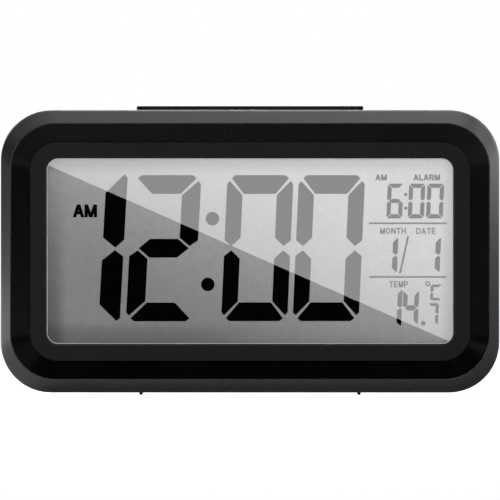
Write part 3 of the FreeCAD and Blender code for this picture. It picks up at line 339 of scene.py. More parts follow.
def back_lettering(shell, text, middle, height, near, far):
    """Words read from behind, as closed solids: Blender's own letters made a mesh, then
    stretched to a height and mirrored."""
    curve = bpy.data.curves.new("words", "FONT")
    curve.body = text
    curve.resolution_u = 3
    curve.extrude = 0.1
    curve.offset = 0.01
    holder = placed(bpy.data.objects.new("words", curve))
    bpy.context.view_layer.update()
    drawn = holder.evaluated_get(bpy.context.evaluated_depsgraph_get())
    mesh = bpy.data.meshes.new_from_object(drawn)
    points = np.empty(len(mesh.vertices) * 3)
    mesh.vertices.foreach_get("co", points)
    points = points.reshape(-1, 3)
    faces = [list(face.vertices) for face in mesh.polygons]
    bpy.data.objects.remove(holder)
    bpy.data.curves.remove(curve)
    bpy.data.meshes.remove(mesh)
    low, high = points.min(0), points.max(0)
    scale = height / (high[1] - low[1])
    x = ((low[0] + high[0]) / 2 - points[:, 0]) * scale
    z = (points[:, 1] - (low[1] + high[1]) / 2) * scale
    y = np.where(points[:, 2] > 0, near, far)
    shell.add(np.stack([middle[0] + x, y, middle[1] + z], -1), faces)


# ---------------------------------------------------------------- finishes
# Sockets of a Mix node that is set to colours.
MIX_FACTOR, MIX_FIRST, MIX_SECOND, MIX_RESULT = 0, 6, 7, 2


class Wire:
    """An output socket of a shader node that can be used in sums and products."""

    def __init__(self, sheet, socket):
        self.sheet = sheet
        self.socket = socket

    def math(self, operation, *others):
        """New Math node on this value and others."""
        values = dict(enumerate((self, *others)))
        return self.sheet.node("ShaderNodeMath", {"operation": operation}, values)

    def __add__(self, other):
        return self.math("ADD", other)

    __radd__ = __add__

    def __mul__(self, other):
        return self.math("MULTIPLY", other)

    __rmul__ = __mul__

    def __sub__(self, other):
        return self.math("SUBTRACT", other)

    def __rsub__(self, other):
        return self * -1 + other

    def step(self, low, high):
        """0 below low, 1 above high and smooth between."""
        return self.sheet.node("ShaderNodeMapRange", {"interpolation_type": "SMOOTHSTEP"},
                               {"Value": self, "From Min": low, "From Max": high})


class Sheet:
    """Node sheet of one material or world."""

    def __init__(self, owner):
        owner.use_nodes = True
        self.owner = owner
        self.tree = owner.node_tree
        self.tree.nodes.clear()
        self.place = None

    def node(self, kind, settings=None, inputs=None, output=0):
        """Add a node: settings first, then the values or links of its sockets. Gives one
        output."""
        node = self.tree.nodes.new(kind)
        for key, value in (settings or {}).items():
            setattr(node, key, value)
        for key, value in (inputs or {}).items():
            if isinstance(value, Wire):
                self.tree.links.new(value.socket, node.inputs[key])
            else:
                node.inputs[key].default_value = value
        return Wire(self, node.outputs[output]) if node.outputs else node

    def where(self):
        """Object coordinates."""
        if self.place is None:
            self.place = self.node("ShaderNodeTexCoord", output="Object")
        return self.place

    def parts(self, vector):
        """The three numbers of a vector."""
        split = self.node("ShaderNodeSeparateXYZ", None, {0: vector})
        return [Wire(self, socket) for socket in split.socket.node.outputs]

    def noise(self, size, detail=2.0, stretch=None):
        """Even noise about 0.5 whose lumps are about size metres across, stretched along the
        axes."""
        place = self.where()
        if stretch:
            place = self.node("ShaderNodeMapping", None, {"Vector": place, "Scale": stretch})
        return self.node("ShaderNodeTexNoise", None,
                         {"Vector": place, "Scale": 1 / size, "Detail": detail})

    def blend(self, factor, first, second):
        """Colour mix of two colours or links."""
        first, second = (v if isinstance(v, Wire) else (*v[:3], 1.0) for v in (first, second))
        return self.node("ShaderNodeMix", {"data_type": "RGBA"},
                         {MIX_FACTOR: factor, MIX_FIRST: first, MIX_SECOND: second}, MIX_RESULT)

    def bump(self, height, distance):
        """Normal from a height."""
        return self.node("ShaderNodeBump", None, {"Height": height, "Distance": distance})

    def surface(self, **inputs):
        """Principled shader on the output; a key's underscores stand for spaces."""
        names = {key.replace("_", " "): value for key, value in inputs.items()}
        return self.output(self.node("ShaderNodeBsdfPrincipled", None, names))

    def output(self, shader):
        """Put a shader on the output and give the material or world."""
        world = isinstance(self.owner, bpy.types.World)
        kind = "ShaderNodeOutputWorld" if world else "ShaderNodeOutputMaterial"
        self.node(kind, None, {"Surface": shader})
        return self.owner


def tint(colour, factor):
    """Colour times a factor."""
    return tuple(min(c * factor, 1.0) for c in colour)


def moulded(name, colour, roughness, grain, depth, specular=0.5, spread=0.12):
    """Moulded plastic: spark-eroded grain, faint clouds in the gloss and colour, pale flecks.

    The height is the pits plus 0.6 of a field five times as wide. The roughness is a middle
    value plus small shares of the clouds and the pits."""
    sheet = Sheet(bpy.data.materials.new(name))
    cloud = sheet.noise(size=0.018, detail=3.0)
    fleck = sheet.noise(size=grain * 1.7, detail=1.0)
    body = sheet.blend(cloud, tint(colour, 1 - spread), tint(colour, 1 + spread))
    body = sheet.blend(fleck.step(0.62, 0.75) * 0.35, body, tint(colour, 1.7))
    pits = sheet.noise(size=grain, detail=2.0)
    wide = sheet.noise(size=grain * 5.0, detail=2.0)
    gloss = roughness + (cloud - 0.5) * 0.10 + (pits - 0.5) * 0.12
    return sheet.surface(Base_Color=body, Roughness=gloss, Specular_IOR_Level=specular,
                         Normal=sheet.bump(pits + wide * 0.6, distance=depth))


def polished(name, colour, roughness, specular=0.5):
    """Smooth moulded plastic with faint hairlines and dulled patches."""
    sheet = Sheet(bpy.data.materials.new(name))
    cloud = sheet.noise(size=0.012, detail=3.0)
    lines = sheet.noise(size=0.0004, detail=2.0, stretch=(0.06, 1.0, 1.0))
    body = sheet.blend(cloud, tint(colour, 0.85), tint(colour, 1.2))
    gloss = roughness + (cloud - 0.5) * 0.14 + lines.step(0.66, 0.72) * 0.08
    return sheet.surface(Base_Color=body, Roughness=gloss, Specular_IOR_Level=specular,
                         Normal=sheet.bump(lines, distance=1.5e-6))


def metal(name, colour, roughness, stretch=(1.0, 1.0, 1.0)):
    """Drawn or plated metal with fine lines."""
    sheet = Sheet(bpy.data.materials.new(name))
    lines = sheet.noise(size=0.0006, detail=3.0, stretch=stretch)
    cloud = sheet.noise(size=0.004, detail=2.0)
    body = sheet.blend(cloud, tint(colour, 0.85), tint(colour, 1.08))
    return sheet.surface(Base_Color=body, Metallic=1.0, Roughness=roughness + (lines - 0.5) * 0.2,
                         Normal=sheet.bump(lines, distance=2e-6))


def rubber(name, colour, roughness):
    """Moulded rubber: dull, with a dusty bloom."""
    sheet = Sheet(bpy.data.materials.new(name))
    bloom = sheet.noise(size=0.0025, detail=3.0)
    pits = sheet.noise(size=0.00022, detail=2.0)
    body = sheet.blend(bloom.step(0.45, 0.75) * 0.6, colour, tint(colour, 2.2))
    return sheet.surface(Base_Color=body, Roughness=roughness + (bloom - 0.5) * 0.15,
                         Normal=sheet.bump(pits, distance=8e-6), Specular_IOR_Level=0.3)


def lacquered_board(name, colour):
    """Circuit board: lacquer over tracks that run square to each other.

    Each set of tracks is a thin band between two levels of a noise stretched one way."""
    sheet = Sheet(bpy.data.materials.new(name))
    tracks = []
    for stretch in ((0.12, 1.0, 1.0), (1.0, 1.0, 0.12)):
        field = sheet.noise(size=0.0016, detail=1.0, stretch=stretch)
        tracks.append(field.step(0.53, 0.545) - field.step(0.575, 0.59))
    track = tracks[0].math("MAXIMUM", tracks[1])
    weave = sheet.noise(size=0.0003, detail=1.0)
    body = sheet.blend(track * 0.8, colour, tint(colour, 1.9))
    body = sheet.blend((weave - 0.3) * 0.3, body, tint(colour, 0.5))
    return sheet.surface(Base_Color=body, Roughness=0.32 + (weave - 0.5) * 0.1,
                         Normal=sheet.bump(track, distance=2.5e-5))


def clear_pane(name):
    """Clear sheet: mostly see-through, with a mirror share on its outer face alone."""
    sheet = Sheet(bpy.data.materials.new(name))
    outside = 1 - sheet.node("ShaderNodeNewGeometry", output="Backfacing")
    share = sheet.node("ShaderNodeFresnel", None, {"IOR": 2.5}) * outside
    through = sheet.node("ShaderNodeBsdfTransparent", None, {"Color": (0.985, 0.99, 0.985, 1)})
    mirror = sheet.node("ShaderNodeBsdfGlossy", None, {"Roughness": 0.004, "Color": (1, 1, 1, 1)})
    return sheet.output(sheet.node("ShaderNodeMixShader", None, {0: share, 1: through, 2: mirror}))


def display_ground(name, colour):
    """Polariser over the liquid crystal: fine grain, with painted light that brightens it towards
    the upper right and painted shade that darkens it along its edges.

    Its level rises along a slanting axis, as painted light of the glare. Near each edge it is
    then lowered by a depth, less an eased part that grows in a run along the edge, as painted
    shade where the window's edges shade the recessed film."""
    sheet = Sheet(bpy.data.materials.new(name))
    x, _, z = sheet.parts(sheet.where())
    left, right = -WINDOW_HALF_W * MM, WINDOW_HALF_W * MM
    low, high = (WINDOW_Z - WINDOW_HALF_H) * MM, (WINDOW_Z + WINDOW_HALF_H) * MM
    fine = sheet.noise(size=0.00055, detail=2.0)
    coarse = sheet.noise(size=0.0022, detail=3.0)
    # Painted light: the ground brightens along this slanting axis towards the upper right, as
    # under the glare.
    across = x * 0.4007 + z * 0.9162 - 0.0349
    level = 0.475 + across.step(-0.0270, 0.0340) * 0.53
    level = level * (1.0 + (fine - 0.5) * 0.34 + (coarse - 0.5) * 0.14)
    # Painted shade along each edge of the window, where its edges shade the recessed film: a mask,
    # its darkening at the start of the edge, a run along the edge, and how much of the darkening
    # is gone at the end of the run.
    edges = (
        (1.0 - x.step(left + 0.0017, left + 0.0060), 0.54, z.step(low - 0.005, high), 0.44),
        (1.0 - z.step(low + 0.0022, low + 0.0070), 0.36, x.step(-0.027, 0.017), 0.33),
        (z.step(high - 0.0050, high - 0.0005), 0.43, x.step(left, right), 0.15),
        (x.step(right - 0.0040, right - 0.0008), 0.36, z.step(low, high), 0.13),
    )
    for painted_shade_mask, depth, run, eased in edges:
        level = level * (1.0 - painted_shade_mask * (depth - run * eased))
    return sheet.surface(Base_Color=sheet.blend(1.0 - level, colour, (0.0, 0.0, 0.0)),
                         Roughness=0.62, Specular_IOR_Level=0.2)


def display_ink(name, colour):
    """Dark segments: almost black, with the grain of the polariser just showing."""
    sheet = Sheet(bpy.data.materials.new(name))
    body = sheet.blend(sheet.noise(size=0.00045, detail=2.0), colour, tint(colour, 2.0))
    return sheet.surface(Base_Color=body, Roughness=0.6, Specular_IOR_Level=0.0)


def cell_sleeve(name, colour, side):
    """Cell: printed sleeve with a pale band and a seam before the nub end, and bare steel at
    both ends. side is 1 where the nub points right and -1 where it points left."""
    sheet = Sheet(bpy.data.materials.new(name))
    along = sheet.parts(sheet.where())[0] * side

    def past(edge):
        """1 beyond a line across the cell, 0 before it."""
        return along.step(edge, edge + 0.0001)

    band = past(0.0118)
    seam = past(0.0108) - past(0.0114)
    ends = past(0.0206) + (1 - past(-0.0218))
    grain = sheet.noise(size=0.0006, detail=2.0)
    body = sheet.blend(band, colour, (0.42, 0.40, 0.34))
    body = sheet.blend(seam, body, (0.5, 0.5, 0.48))
    body = sheet.blend(ends, body, (0.55, 0.55, 0.54))
    return sheet.surface(Base_Color=body, Metallic=ends.math("MINIMUM", 1.0),
                         Roughness=0.3 + (grain - 0.5) * 0.15)


FINISHES = {}


def make_finishes(colours):
    """All finishes, by the names that the pieces use.

    After the colour comes the roughness. Moulded plastic then has the size of its grain and
    the depth of its relief in metres, and polished plastic its specular level."""
    own = {name: tuple(getattr(colours, name)) for name in colours.__annotations__}
    rim = tint(own["case"], 0.6)
    FINISHES.update({
        "case": moulded("case_plastic", own["case"], 0.44, 0.00032, 9e-6, specular=0.55),
        "rim": moulded("rim_plastic", rim, 0.40, 0.00026, 4e-6, specular=0.47),
        "slope": polished("slope_plastic", own["slope"], 0.26, 0.10),
        "bezel": moulded("bezel_plastic", own["bezel"], 0.68, 0.00024, 3e-6, specular=0.08),
        "button": moulded("button_plastic", own["button"], 0.66, 0.0003, 5e-6, specular=0.08),
        "pane": clear_pane("clear_window"),
        "ground": display_ground("display_ground", own["display"]),
        "segment": display_ink("display_segments", own["segment"]),
        "sign": moulded("sign_ink", own["sign"], 0.55, 0.0004, 2e-6, specular=0.3, spread=0.05),
        "edge": polished("pane_edge", (0.36, 0.37, 0.36), 0.3),
        "glass": moulded("display_glass", (0.20, 0.24, 0.23), 0.08, 0.002, 1e-7),
        "reflector": moulded("reflector_film", (0.62, 0.62, 0.60), 0.35, 0.0004, 2e-6),
        "guide": polished("light_guide", (0.62, 0.68, 0.70), 0.12),
        "inner": moulded("inner_plastic", (0.45, 0.45, 0.43), 0.5, 0.0005, 8e-6),
        "mat": rubber("soft_rubber", (0.16, 0.16, 0.165), 0.6),
        "skid": rubber("skid_rubber", own["rubber"], 0.8),
        "board": lacquered_board("circuit_board", own["board"]),
        "resin": polished("resin_drop", (0.008, 0.008, 0.009), 0.2),
        "ribbon": moulded("ribbon", (0.45, 0.44, 0.40), 0.45, 0.0004, 4e-6),
        "contact": metal("contact_metal", (0.74, 0.72, 0.68), 0.24, stretch=(1.0, 1.0, 0.1)),
        "steel": metal("screw_steel", (0.58, 0.57, 0.55), 0.32),
        "sleeve": polished("capacitor_sleeve", (0.02, 0.02, 0.05), 0.3),
        "red": polished("red_sheath", (0.42, 0.02, 0.015), 0.4, 0.4),
        "black": polished("black_sheath", (0.012, 0.012, 0.012), 0.4, 0.4),
        "cell_right": cell_sleeve("cell_sleeve_right", own["cell"], 1),
        "cell_left": cell_sleeve("cell_sleeve_left", own["cell"], -1),
    })


NODE_FINISHES = {
    "case": ("rear_case", "battery_door"),
    "button": ("alarm_switch_lever", "hours_switch_lever"),
    "ground": ("lcd_front_film",),
    "glass": ("lcd_front_glass", "lcd_rear_glass"),
    "reflector": ("lcd_reflector",),
    "guide": ("light_guide", "backlight_lamp"),
    "inner": ("lcd_holder",),
    "mat": ("key_pad", "snooze_pad", "zebra_strip", "thermistor"),
    "skid": ("left_skid", "right_skid"),
    "board": ("main_board", "key_board", "snooze_board"),
    "resin": ("chip_cover", "buzzer"),
    "ribbon": ("ribbon_cable",),
    "contact": ("left_contact_strip", "right_contact_strip", "alarm_switch_housing",
                "hours_switch_housing", "crystal_can"),
    "steel": ("case_screws", "holder_screws", "board_screws"),
    "sleeve": ("reservoir_capacitor",),
    "red": ("red_battery_lead", "snooze_leads"),
    "black": ("black_battery_lead", "buzzer_leads"),
    "cell_right": ("cell_lower", "cell_upper"),
    "cell_left": ("cell_middle",),
}


def finish_nodes():
    """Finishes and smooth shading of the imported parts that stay."""
    for finish, names in NODE_FINISHES.items():
        for name in names:
            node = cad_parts[name]
            for place in node.material_slots:
                place.material = FINISHES[finish]
            if not node.material_slots:
                node.data.materials.append(FINISHES[finish])
            smooth(node, weld=True)


# ---------------------------------------------------------------- case and window
def screw_boss(shell, middle, outer, bore, end_y, around=32):
    """Hollow boss behind the flange: a profile of (radius, depth) turned about its middle."""
    root, floor = FLANGE_Y - 0.3, FLANGE_Y + 0.4
    shell.lathe([(0, root), (outer, root), (outer, end_y), (bore, end_y), (bore, floor),
                 (0, floor)], middle, around=around)


def front_rim(sizes):
    """Front half of the case: one profile of outline rows carried round the display, with its
    screw bosses and lugs. The faces inside the crest get the smooth finish of the slope."""
    crest, rim = sizes.edge_softness / MM, sizes.rim_softness / MM
    lip, hollow, hollow_wall = grown(OPENING, 2.0), grown(OPENING, 3.0), WALL + 1.0
    rows = [
        (wall_row(PARTING_Y, 0.0), SEEN_EDGE),
        ((*EDGE, EDGE_Y), rim),
        ((*CREST, FRONT_Y), crest),
        ((*CREST_INNER, FRONT_Y), crest),
        ((*OPENING, RECESS_Y), SEEN_EDGE),
        ((*OPENING, FLANGE_Y), INNER_EDGE),
        ((*lip, FLANGE_Y), INNER_EDGE),
        ((*hollow, HOLLOW_Y), INNER_EDGE),
        (wall_row(HOLLOW_Y, hollow_wall), INNER_EDGE),
        (wall_row(FLANGE_Y, WALL), INNER_EDGE),
        (wall_row(PARTING_Y, WALL), INNER_EDGE),
        ((*wall_row(PARTING_Y, WALL)[:4], TONGUE_Y), INNER_EDGE),
        ((*wall_row(PARTING_Y, TONGUE_INSET)[:4], TONGUE_Y), INNER_EDGE),
        (wall_row(PARTING_Y, TONGUE_INSET), INNER_EDGE),
    ]
    outlines, radii = zip(*rows)
    shell = Shell().frame(soften(outlines, radii, closed=True), closed=True)
    for middle in BOSS_SPOTS:
        screw_boss(shell, middle, BOSS_R, BOSS_BORE_R, BOSS_END_Y)
    for middle in LUG_SPOTS:
        screw_boss(shell, middle, LUG_R, LUG_BORE_R, LUG_END_Y, around=24)
    piece = shell.make("front_rim", "case", "case_plastic", FINISHES["rim"], ["front_case"])

    margin, rearward, towards_middle, forwards = 0.2, 0.1, -0.01, -0.88

    def inside_crest(x, y, z, facing):
        """Faces before the recess that look to the middle of the clock or straight forwards."""
        outward = x * facing[:, 0] + (z - CASE_MIDDLE_Z) * facing[:, 2]
        chosen = (outward < towards_middle) | (facing[:, 1] < forwards)
        return chosen & (y < RECESS_Y + margin) & (facing[:, 1] < rearward)

    second_finish(piece, FINISHES["slope"], inside_crest)


def bezel_frame():
    """Flat frame round the window: one closed profile of outline rows. The narrow lip at the
    window gets the smooth finish of the slope."""
    outer, wide = grown(OPENING, -0.05), grown(OPENING, 1.2)
    seat, rib, rib_y = grown(WINDOW, 1.0), grown(WINDOW, 1.75), FLANGE_Y + 1.0
    chamfer, soft, fine, sharp = 0.3, 0.15, 0.06, 0.03
    rows = [
        ((*outer, RECESS_Y), soft),
        ((*grown(WINDOW, chamfer), RECESS_Y), fine),
        ((*WINDOW, RECESS_Y + chamfer), fine),
        ((*WINDOW, PANE_Y), sharp),
        ((*seat, PANE_Y), sharp),
        ((*seat, FLANGE_Y), sharp),
        ((*rib, FLANGE_Y), sharp),
        ((*rib, rib_y), sharp),
        ((*wide, rib_y), sharp),
        ((*wide, FLANGE_Y), sharp),
        ((*outer, FLANGE_Y), sharp),
    ]
    outlines, radii = zip(*rows)
    shell = Shell().frame(soften(outlines, radii, closed=True, steps=4), closed=True)
    piece = shell.make("bezel_frame", "case", "bezel_plastic", FINISHES["bezel"], ["inner_bezel"])
    lip, margin = 0.42, 0.01

    def at_window(x, y, z, facing):
        """Faces before the pane and within a lip's width of the window."""
        beside = np.abs(x) < WINDOW_HALF_W + lip
        above = np.abs(z - WINDOW_Z) < WINDOW_HALF_H + lip
        return beside & above & (y < PANE_Y + margin)

    second_finish(piece, FINISHES["slope"], at_window)


def window_sheet():
    """Clear pane with rounded corners, and the thin polished bead that shows at its edge."""
    pane, edge_round = grown(WINDOW, 0.9), 0.08
    cap = grown(pane, -0.3)
    near, far = PANE_Y + 0.02, FLANGE_Y
    rows = [(*cap, near), (*pane, near), (*pane, far), (*cap, far)]
    shell = Shell().frame(soften(rows, [0, edge_round, edge_round, 0], steps=3), caps=(0, -1))
    shell.make("window_sheet", "case", "clear_window", FINISHES["pane"], ["window_pane"])
    section = ((0.02, 0.02), (0.02, -0.20), (-0.08, -0.17), (-0.20, -0.02), (-0.20, 0.02))
    bead = [(*grown(WINDOW, amount), near + depth) for amount, depth in section]
    Shell().frame(bead, closed=True).make("window_bead", "case", "clear_window", FINISHES["edge"])


# ---------------------------------------------------------------- display
def segment(key, w, h, bar, post):
    """Outline of one bar of a digit in its box, u to the right and v down: bars a, g, d and
    posts f, b, e, c meet at slanting gaps, and their corners lie at shares of the thickness of
    bars and posts. The lower bars mirror the upper ones, and the right posts the left."""
    if key in "ij":
        return lone_bar(key, w, h, post)
    cut = 0.44 * bar
    tip = 0.45 * post
    gap = 0.13 * post
    half = h / 2
    upper = {
        "a": [(0.55 * cut, 0.36 * cut), (cut, 0), (w - cut, 0), (w - 0.55 * cut, 0.36 * cut),
              (w - post - 0.6 * gap, bar), (post + 0.6 * gap, bar)],
        "f": [(0.33 * cut, 0.71 * cut), (0, 1.08 * cut), (0, half - 0.42 * bar),
              (tip, half - 0.115 * bar), (post, half - 0.565 * bar), (post, bar + 0.6 * gap)],
        "g": [(0.5 * post, half), (1.09 * post, half - 0.5 * bar),
              (w - 1.09 * post, half - 0.5 * bar), (w - 0.48 * post, half),
              (w - 1.09 * post, half + 0.5 * bar), (1.09 * post, half + 0.5 * bar)],
    }
    outline = np.array(upper[{"b": "f", "c": "f", "e": "f", "d": "a"}.get(key, key)], float)
    if key in "bc":
        outline[:, 0] = w - outline[:, 0]
    if key in "cde":
        outline[:, 1] = h - outline[:, 1]
    return outline


def lone_bar(key, w, h, post):
    """Outline of the upper (i) or lower (j) bar of a figure one, its outer end cut on a long
    slant; its corners lie at shares of its thickness."""
    half = h / 2
    if key == "i":
        return np.array([(w - 0.15 * post, 0), (w, 0.15 * post), (w, half - 0.4 * post),
                         (w - 0.4 * post, half - 0.03 * post), (w - post, half - 0.5 * post),
                         (w - post, 0.87 * post)])
    return np.array([(w - 0.4 * post, half + 0.085 * post), (w, half + 0.39 * post),
                     (w, h - 0.2 * post), (w - 0.17 * post, h - 0.06 * post),
                     (w - post, h - 0.84 * post), (w - post, half + 0.57 * post)])


SEGMENTS = {"0": "abcdef", "1": "ij", "2": "abged", "4": "fgbc", "6": "afgedc", "7": "abc",
            "C": "afed"}


def spot(px, py):
    """Place on the window from its distance in image steps."""
    return (px - MIDDLE_STEP[0]) * PIXEL, WINDOW_Z + (MIDDLE_STEP[1] - py) * PIXEL


def digit(shell, character, place, box, slant, near, far):
    """Digit whose top left corner is at a place in image steps; box is its width, height, bar
    and post in image steps, and it leans by the tangent of the slant."""
    left, top = spot(*place)
    for key in SEGMENTS[character]:
        u, v = segment(key, *(length * PIXEL for length in box)).T
        shell.prism(np.stack([left + u - v * math.tan(slant), top - v], -1), near, far)


def dot(shell, place, radius, around, near, far):
    """Round dot about a place in image steps."""
    middle = spot(*place)
    u, v = circle(radius * PIXEL, around)
    shell.prism(np.stack([middle[0] + u, middle[1] + v], -1), near, far)


# Strokes of the letters in a box of 1 by 1: straight bars from end to end, or named curves.
# A curve is (first angle, last angle, whether flats join it to the upright stroke, height of
# its middle, its rise).
LETTERS = {
    "A": [((0, 0), (0.5, 1)), ((1, 0), (0.5, 1)), ((0.2, 0.3), (0.8, 0.3))],
    "M": [((0, 0), (0, 1)), ((1, 0), (1, 1)), ((0.02, 1), (0.5, 0)), ((0.98, 1), (0.5, 0))],
    "N": [((0, 0), (0, 1)), ((1, 0), (1, 1)), ((0, 1), (1, 0))],
    "L": [((0, 0), (0, 1)), ((0, 0), (1, 0))],
    "T": [((0.5, 0), (0.5, 1)), ((0, 1), (1, 1))],
    "H": [((0, 0), (0, 1)), ((1, 0), (1, 1)), ((0, 0.5), (1, 0.5))],
    "E": [((0, 0), (0, 1)), ((0, 0), (1, 0)), ((0, 0.5), (0.9, 0.5)), ((0, 1), (1, 1))],
    "P": [((0, 0), (0, 1)), "upper bowl"],
    "R": [((0, 0), (0, 1)), "upper bowl", ((0.45, 0.45), (1, 0))],
    "D": [((0, 0), (0, 1)), "full bowl"],
    "O": ["ring"],
}
LETTER_WIDTHS = {"M": 1.1, "O": 1.08, "L": 0.8, "T": 0.95, "E": 0.85, "P": 0.9}
CURVES = {"ring": (0, 360, False, 0.5, 0.5), "full bowl": (-90, 90, True, 0.5, 0.5),
          "upper bowl": (-90, 90, True, 0.72, 0.28)}


def stroke_band(shell, path, thick, near, far, closed=False):
    """Band of even thickness along a flat path: each point is moved by half the thickness along
    the path's normal to both sides, and the two edges are joined through the depth."""
    path = np.asarray(path, float)
    ahead = np.roll(path, -1, 0) - np.roll(path, 1, 0) if closed else np.gradient(path, axis=0)
    normal = np.stack([-ahead[:, 1], ahead[:, 0]], -1)
    normal *= thick / 2 / np.linalg.norm(normal, axis=1, keepdims=True)
    edges = [(path - normal, near), (path + normal, near), (path + normal, far),
             (path - normal, far)]
    loop = np.stack([np.stack([e[:, 0], np.full(len(e), y), e[:, 1]], -1) for e, y in edges], 1)
    shell.grid(loop, closed, () if closed else (0, -1))


def letter(shell, character, corner, size, thick, near, far):
    """One letter from straight bars and elliptic curves in a box, its strokes inside the box.

    A curve is middle + reach (cos a, sin a). The ends of a bar are cut level, or upright where
    the bar lies level, so its half width across the cut grows with its slope."""
    inner = np.array(size) - thick
    start = np.array(corner) + thick / 2
    for part in LETTERS[character]:
        if isinstance(part, str):
            first, last, joined, middle, rise = CURVES[part]
            angle = np.radians(np.linspace(first, last, 25))
            if part == "ring":
                angle = angle[:-1]
            reach = inner * (0.5, rise)
            u = start[0] + inner[0] / 2 + reach[0] * np.cos(angle)
            path = np.stack([u, start[1] + middle * inner[1] + reach[1] * np.sin(angle)], -1)
            if joined:
                path = np.concatenate([[[start[0], path[0, 1]]], path, [[start[0], path[-1, 1]]]])
            stroke_band(shell, path, thick, near, far, part == "ring")
            continue
        ends = start + np.array(part) * inner
        run = ends[1] - ends[0]
        if abs(run[1]) < 1e-9:
            side, along = np.array([0, thick / 2]), np.array([thick / 2, 0])
        else:
            side = np.array([thick / 2 * math.hypot(*run) / abs(run[1]), 0])
            along = np.array([0, thick / 2 * np.sign(run[1])])
        ends = ends + np.array([-along, along])
        shell.prism([ends[0] - side, ends[0] + side, ends[1] + side, ends[1] - side], near, far)


def word(shell, text, bounds, thick, gap, near, far):
    """Word stretched over a box given in image steps. Its strokes are a share of its height
    thick, and its letters a share of a letter's width apart."""
    left, top = spot(*bounds[:2])
    right, foot = spot(*bounds[2:])
    height = top - foot
    widths = np.array([LETTER_WIDTHS.get(c, 1.0) for c in text])
    unit = (right - left) / (widths.sum() + gap * (len(text) - 1))
    for character, wide in zip(text, widths):
        letter(shell, character, (left, foot), (wide * unit, height), thick * height, near, far)
        left += (wide + gap) * unit


# Figures: character, left, top, width, height, and thickness of bars and posts in image steps,
# and the lean as a share of the slant.
HOUR_FIGURES = (
    ("1", 59.2, 174.1, 68.6, 148.0, 18.7, 21.3, 1.25),
    ("2", 133.4, 175.0, 68.1, 146.2, 18.7, 18.5, 1.2),
)
MINUTE_FIGURES = (
    ("0", 227.5, 175.0, 66.2, 146.0, 18.7, 15.9, 1.0),
    ("0", 299.0, 175.0, 66.2, 146.0, 18.7, 15.9, 1.0),
)
SMALL_FIGURES = (
    ("6", 387.9, 183.5, 15.8, 34.7, 4.2, 4.2, 1.0),
    ("0", 409.3, 183.5, 16.2, 34.7, 4.2, 4.2, 1.0),
    ("0", 427.6, 183.5, 16.8, 34.7, 4.2, 4.2, 1.0),
    ("1", 382.6, 237.7, 15.9, 34.5, 5.0, 5.2, 1.0),
    ("1", 425.4, 237.7, 15.9, 34.5, 5.0, 5.2, 1.0),
    ("1", 387.2, 289.6, 15.6, 36.3, 5.0, 4.7, 1.0),
    ("4", 403.5, 289.6, 16.0, 36.3, 5.4, 4.6, 1.0),
    ("7", 428.4, 303.1, 10.6, 21.8, 2.7, 3.1, 1.0),
    ("C", 430.9, 284.4, 11.2, 15.8, 2.6, 2.9, 1.0),
)
# Dots: place and radius in image steps, and the number of points round them.
COLON = ((212.5, 218.5, 6.8, 24), (207.8, 284.3, 6.8, 24))
SMALL_DOTS = ((405.9, 194.3, 1.7, 12), (405.9, 207.9, 1.7, 12), (423.3, 323.1, 2.3, 16))
# The slash of the date and the two rules, by their corners in image steps.
SMALL_STROKES = (
    ((407.3, 235.9), (409.2, 235.9), (401.1, 273.2), (399.2, 273.2)),
    ((369.1, 222.3), (446.9, 222.3), (446.9, 223.9), (369.1, 223.9)),
    ((369.4, 276.0), (446.4, 276.0), (446.4, 277.6), (369.4, 277.6)),
)
# Words: text, left, top, right and foot in image steps, share of thickness and share of gap.
WORDS = (
    ("AM", (72.8, 204.3, 97.1, 217.1), 0.25, 0.02),
    ("AM", (375.4, 174.3, 387.0, 180.2), 0.24, 0.08),
    ("ALARM", (413.6, 174.2, 440.2, 180.2), 0.24, 0.10),
    ("MONTH", (380.3, 227.7, 406.0, 233.8), 0.18, 0.18),
    ("DATE", (416.1, 227.7, 435.8, 233.8), 0.18, 0.15),
    ("TEMP", (389.2, 280.9, 408.2, 287.3), 0.17, 0.18),
)
# The degree sign: its middle, and its outer and inner radius, in image steps.
DEGREE_PLACE, DEGREE_RADII = (428.0, 283.6), (2.6, 1.3)


def display_digits(sizes):
    """Figures, dots, rules and words on the display, as thin closed solids on its front film."""
    film_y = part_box("lcd_front_film")[0].y / MM
    near, far = film_y - sizes.ink / MM, film_y + SUNK
    finish = FINISHES["segment"]
    for name, figures, dots, strokes in (
            ("hour_digits", HOUR_FIGURES, (), ()),
            ("minute_digits", MINUTE_FIGURES, COLON, ()),
            ("small_digits", SMALL_FIGURES, SMALL_DOTS, SMALL_STROKES)):
        shell = Shell()
        for character, px, py, *box, lean in figures:
            digit(shell, character, (px, py), box, sizes.slant * lean, near, far)
        for px, py, radius, around in dots:
            dot(shell, (px, py), radius, around, near, far)
        for corners in strokes:
            shell.prism([spot(*corner) for corner in corners], near, far)
        shell.make(name, "case", "display_film", finish)
    words = Shell()
    for text, bounds, thick, gap in WORDS:
        word(words, text, bounds, thick, gap, near, far)
    outer, inner = (radius * PIXEL for radius in DEGREE_RADII)
    words.lathe([(outer, near), (outer, far), (inner, far), (inner, near), (outer, near)],
                spot(*DEGREE_PLACE), around=20)
    words.make("display_words", "case", "display_film", finish)


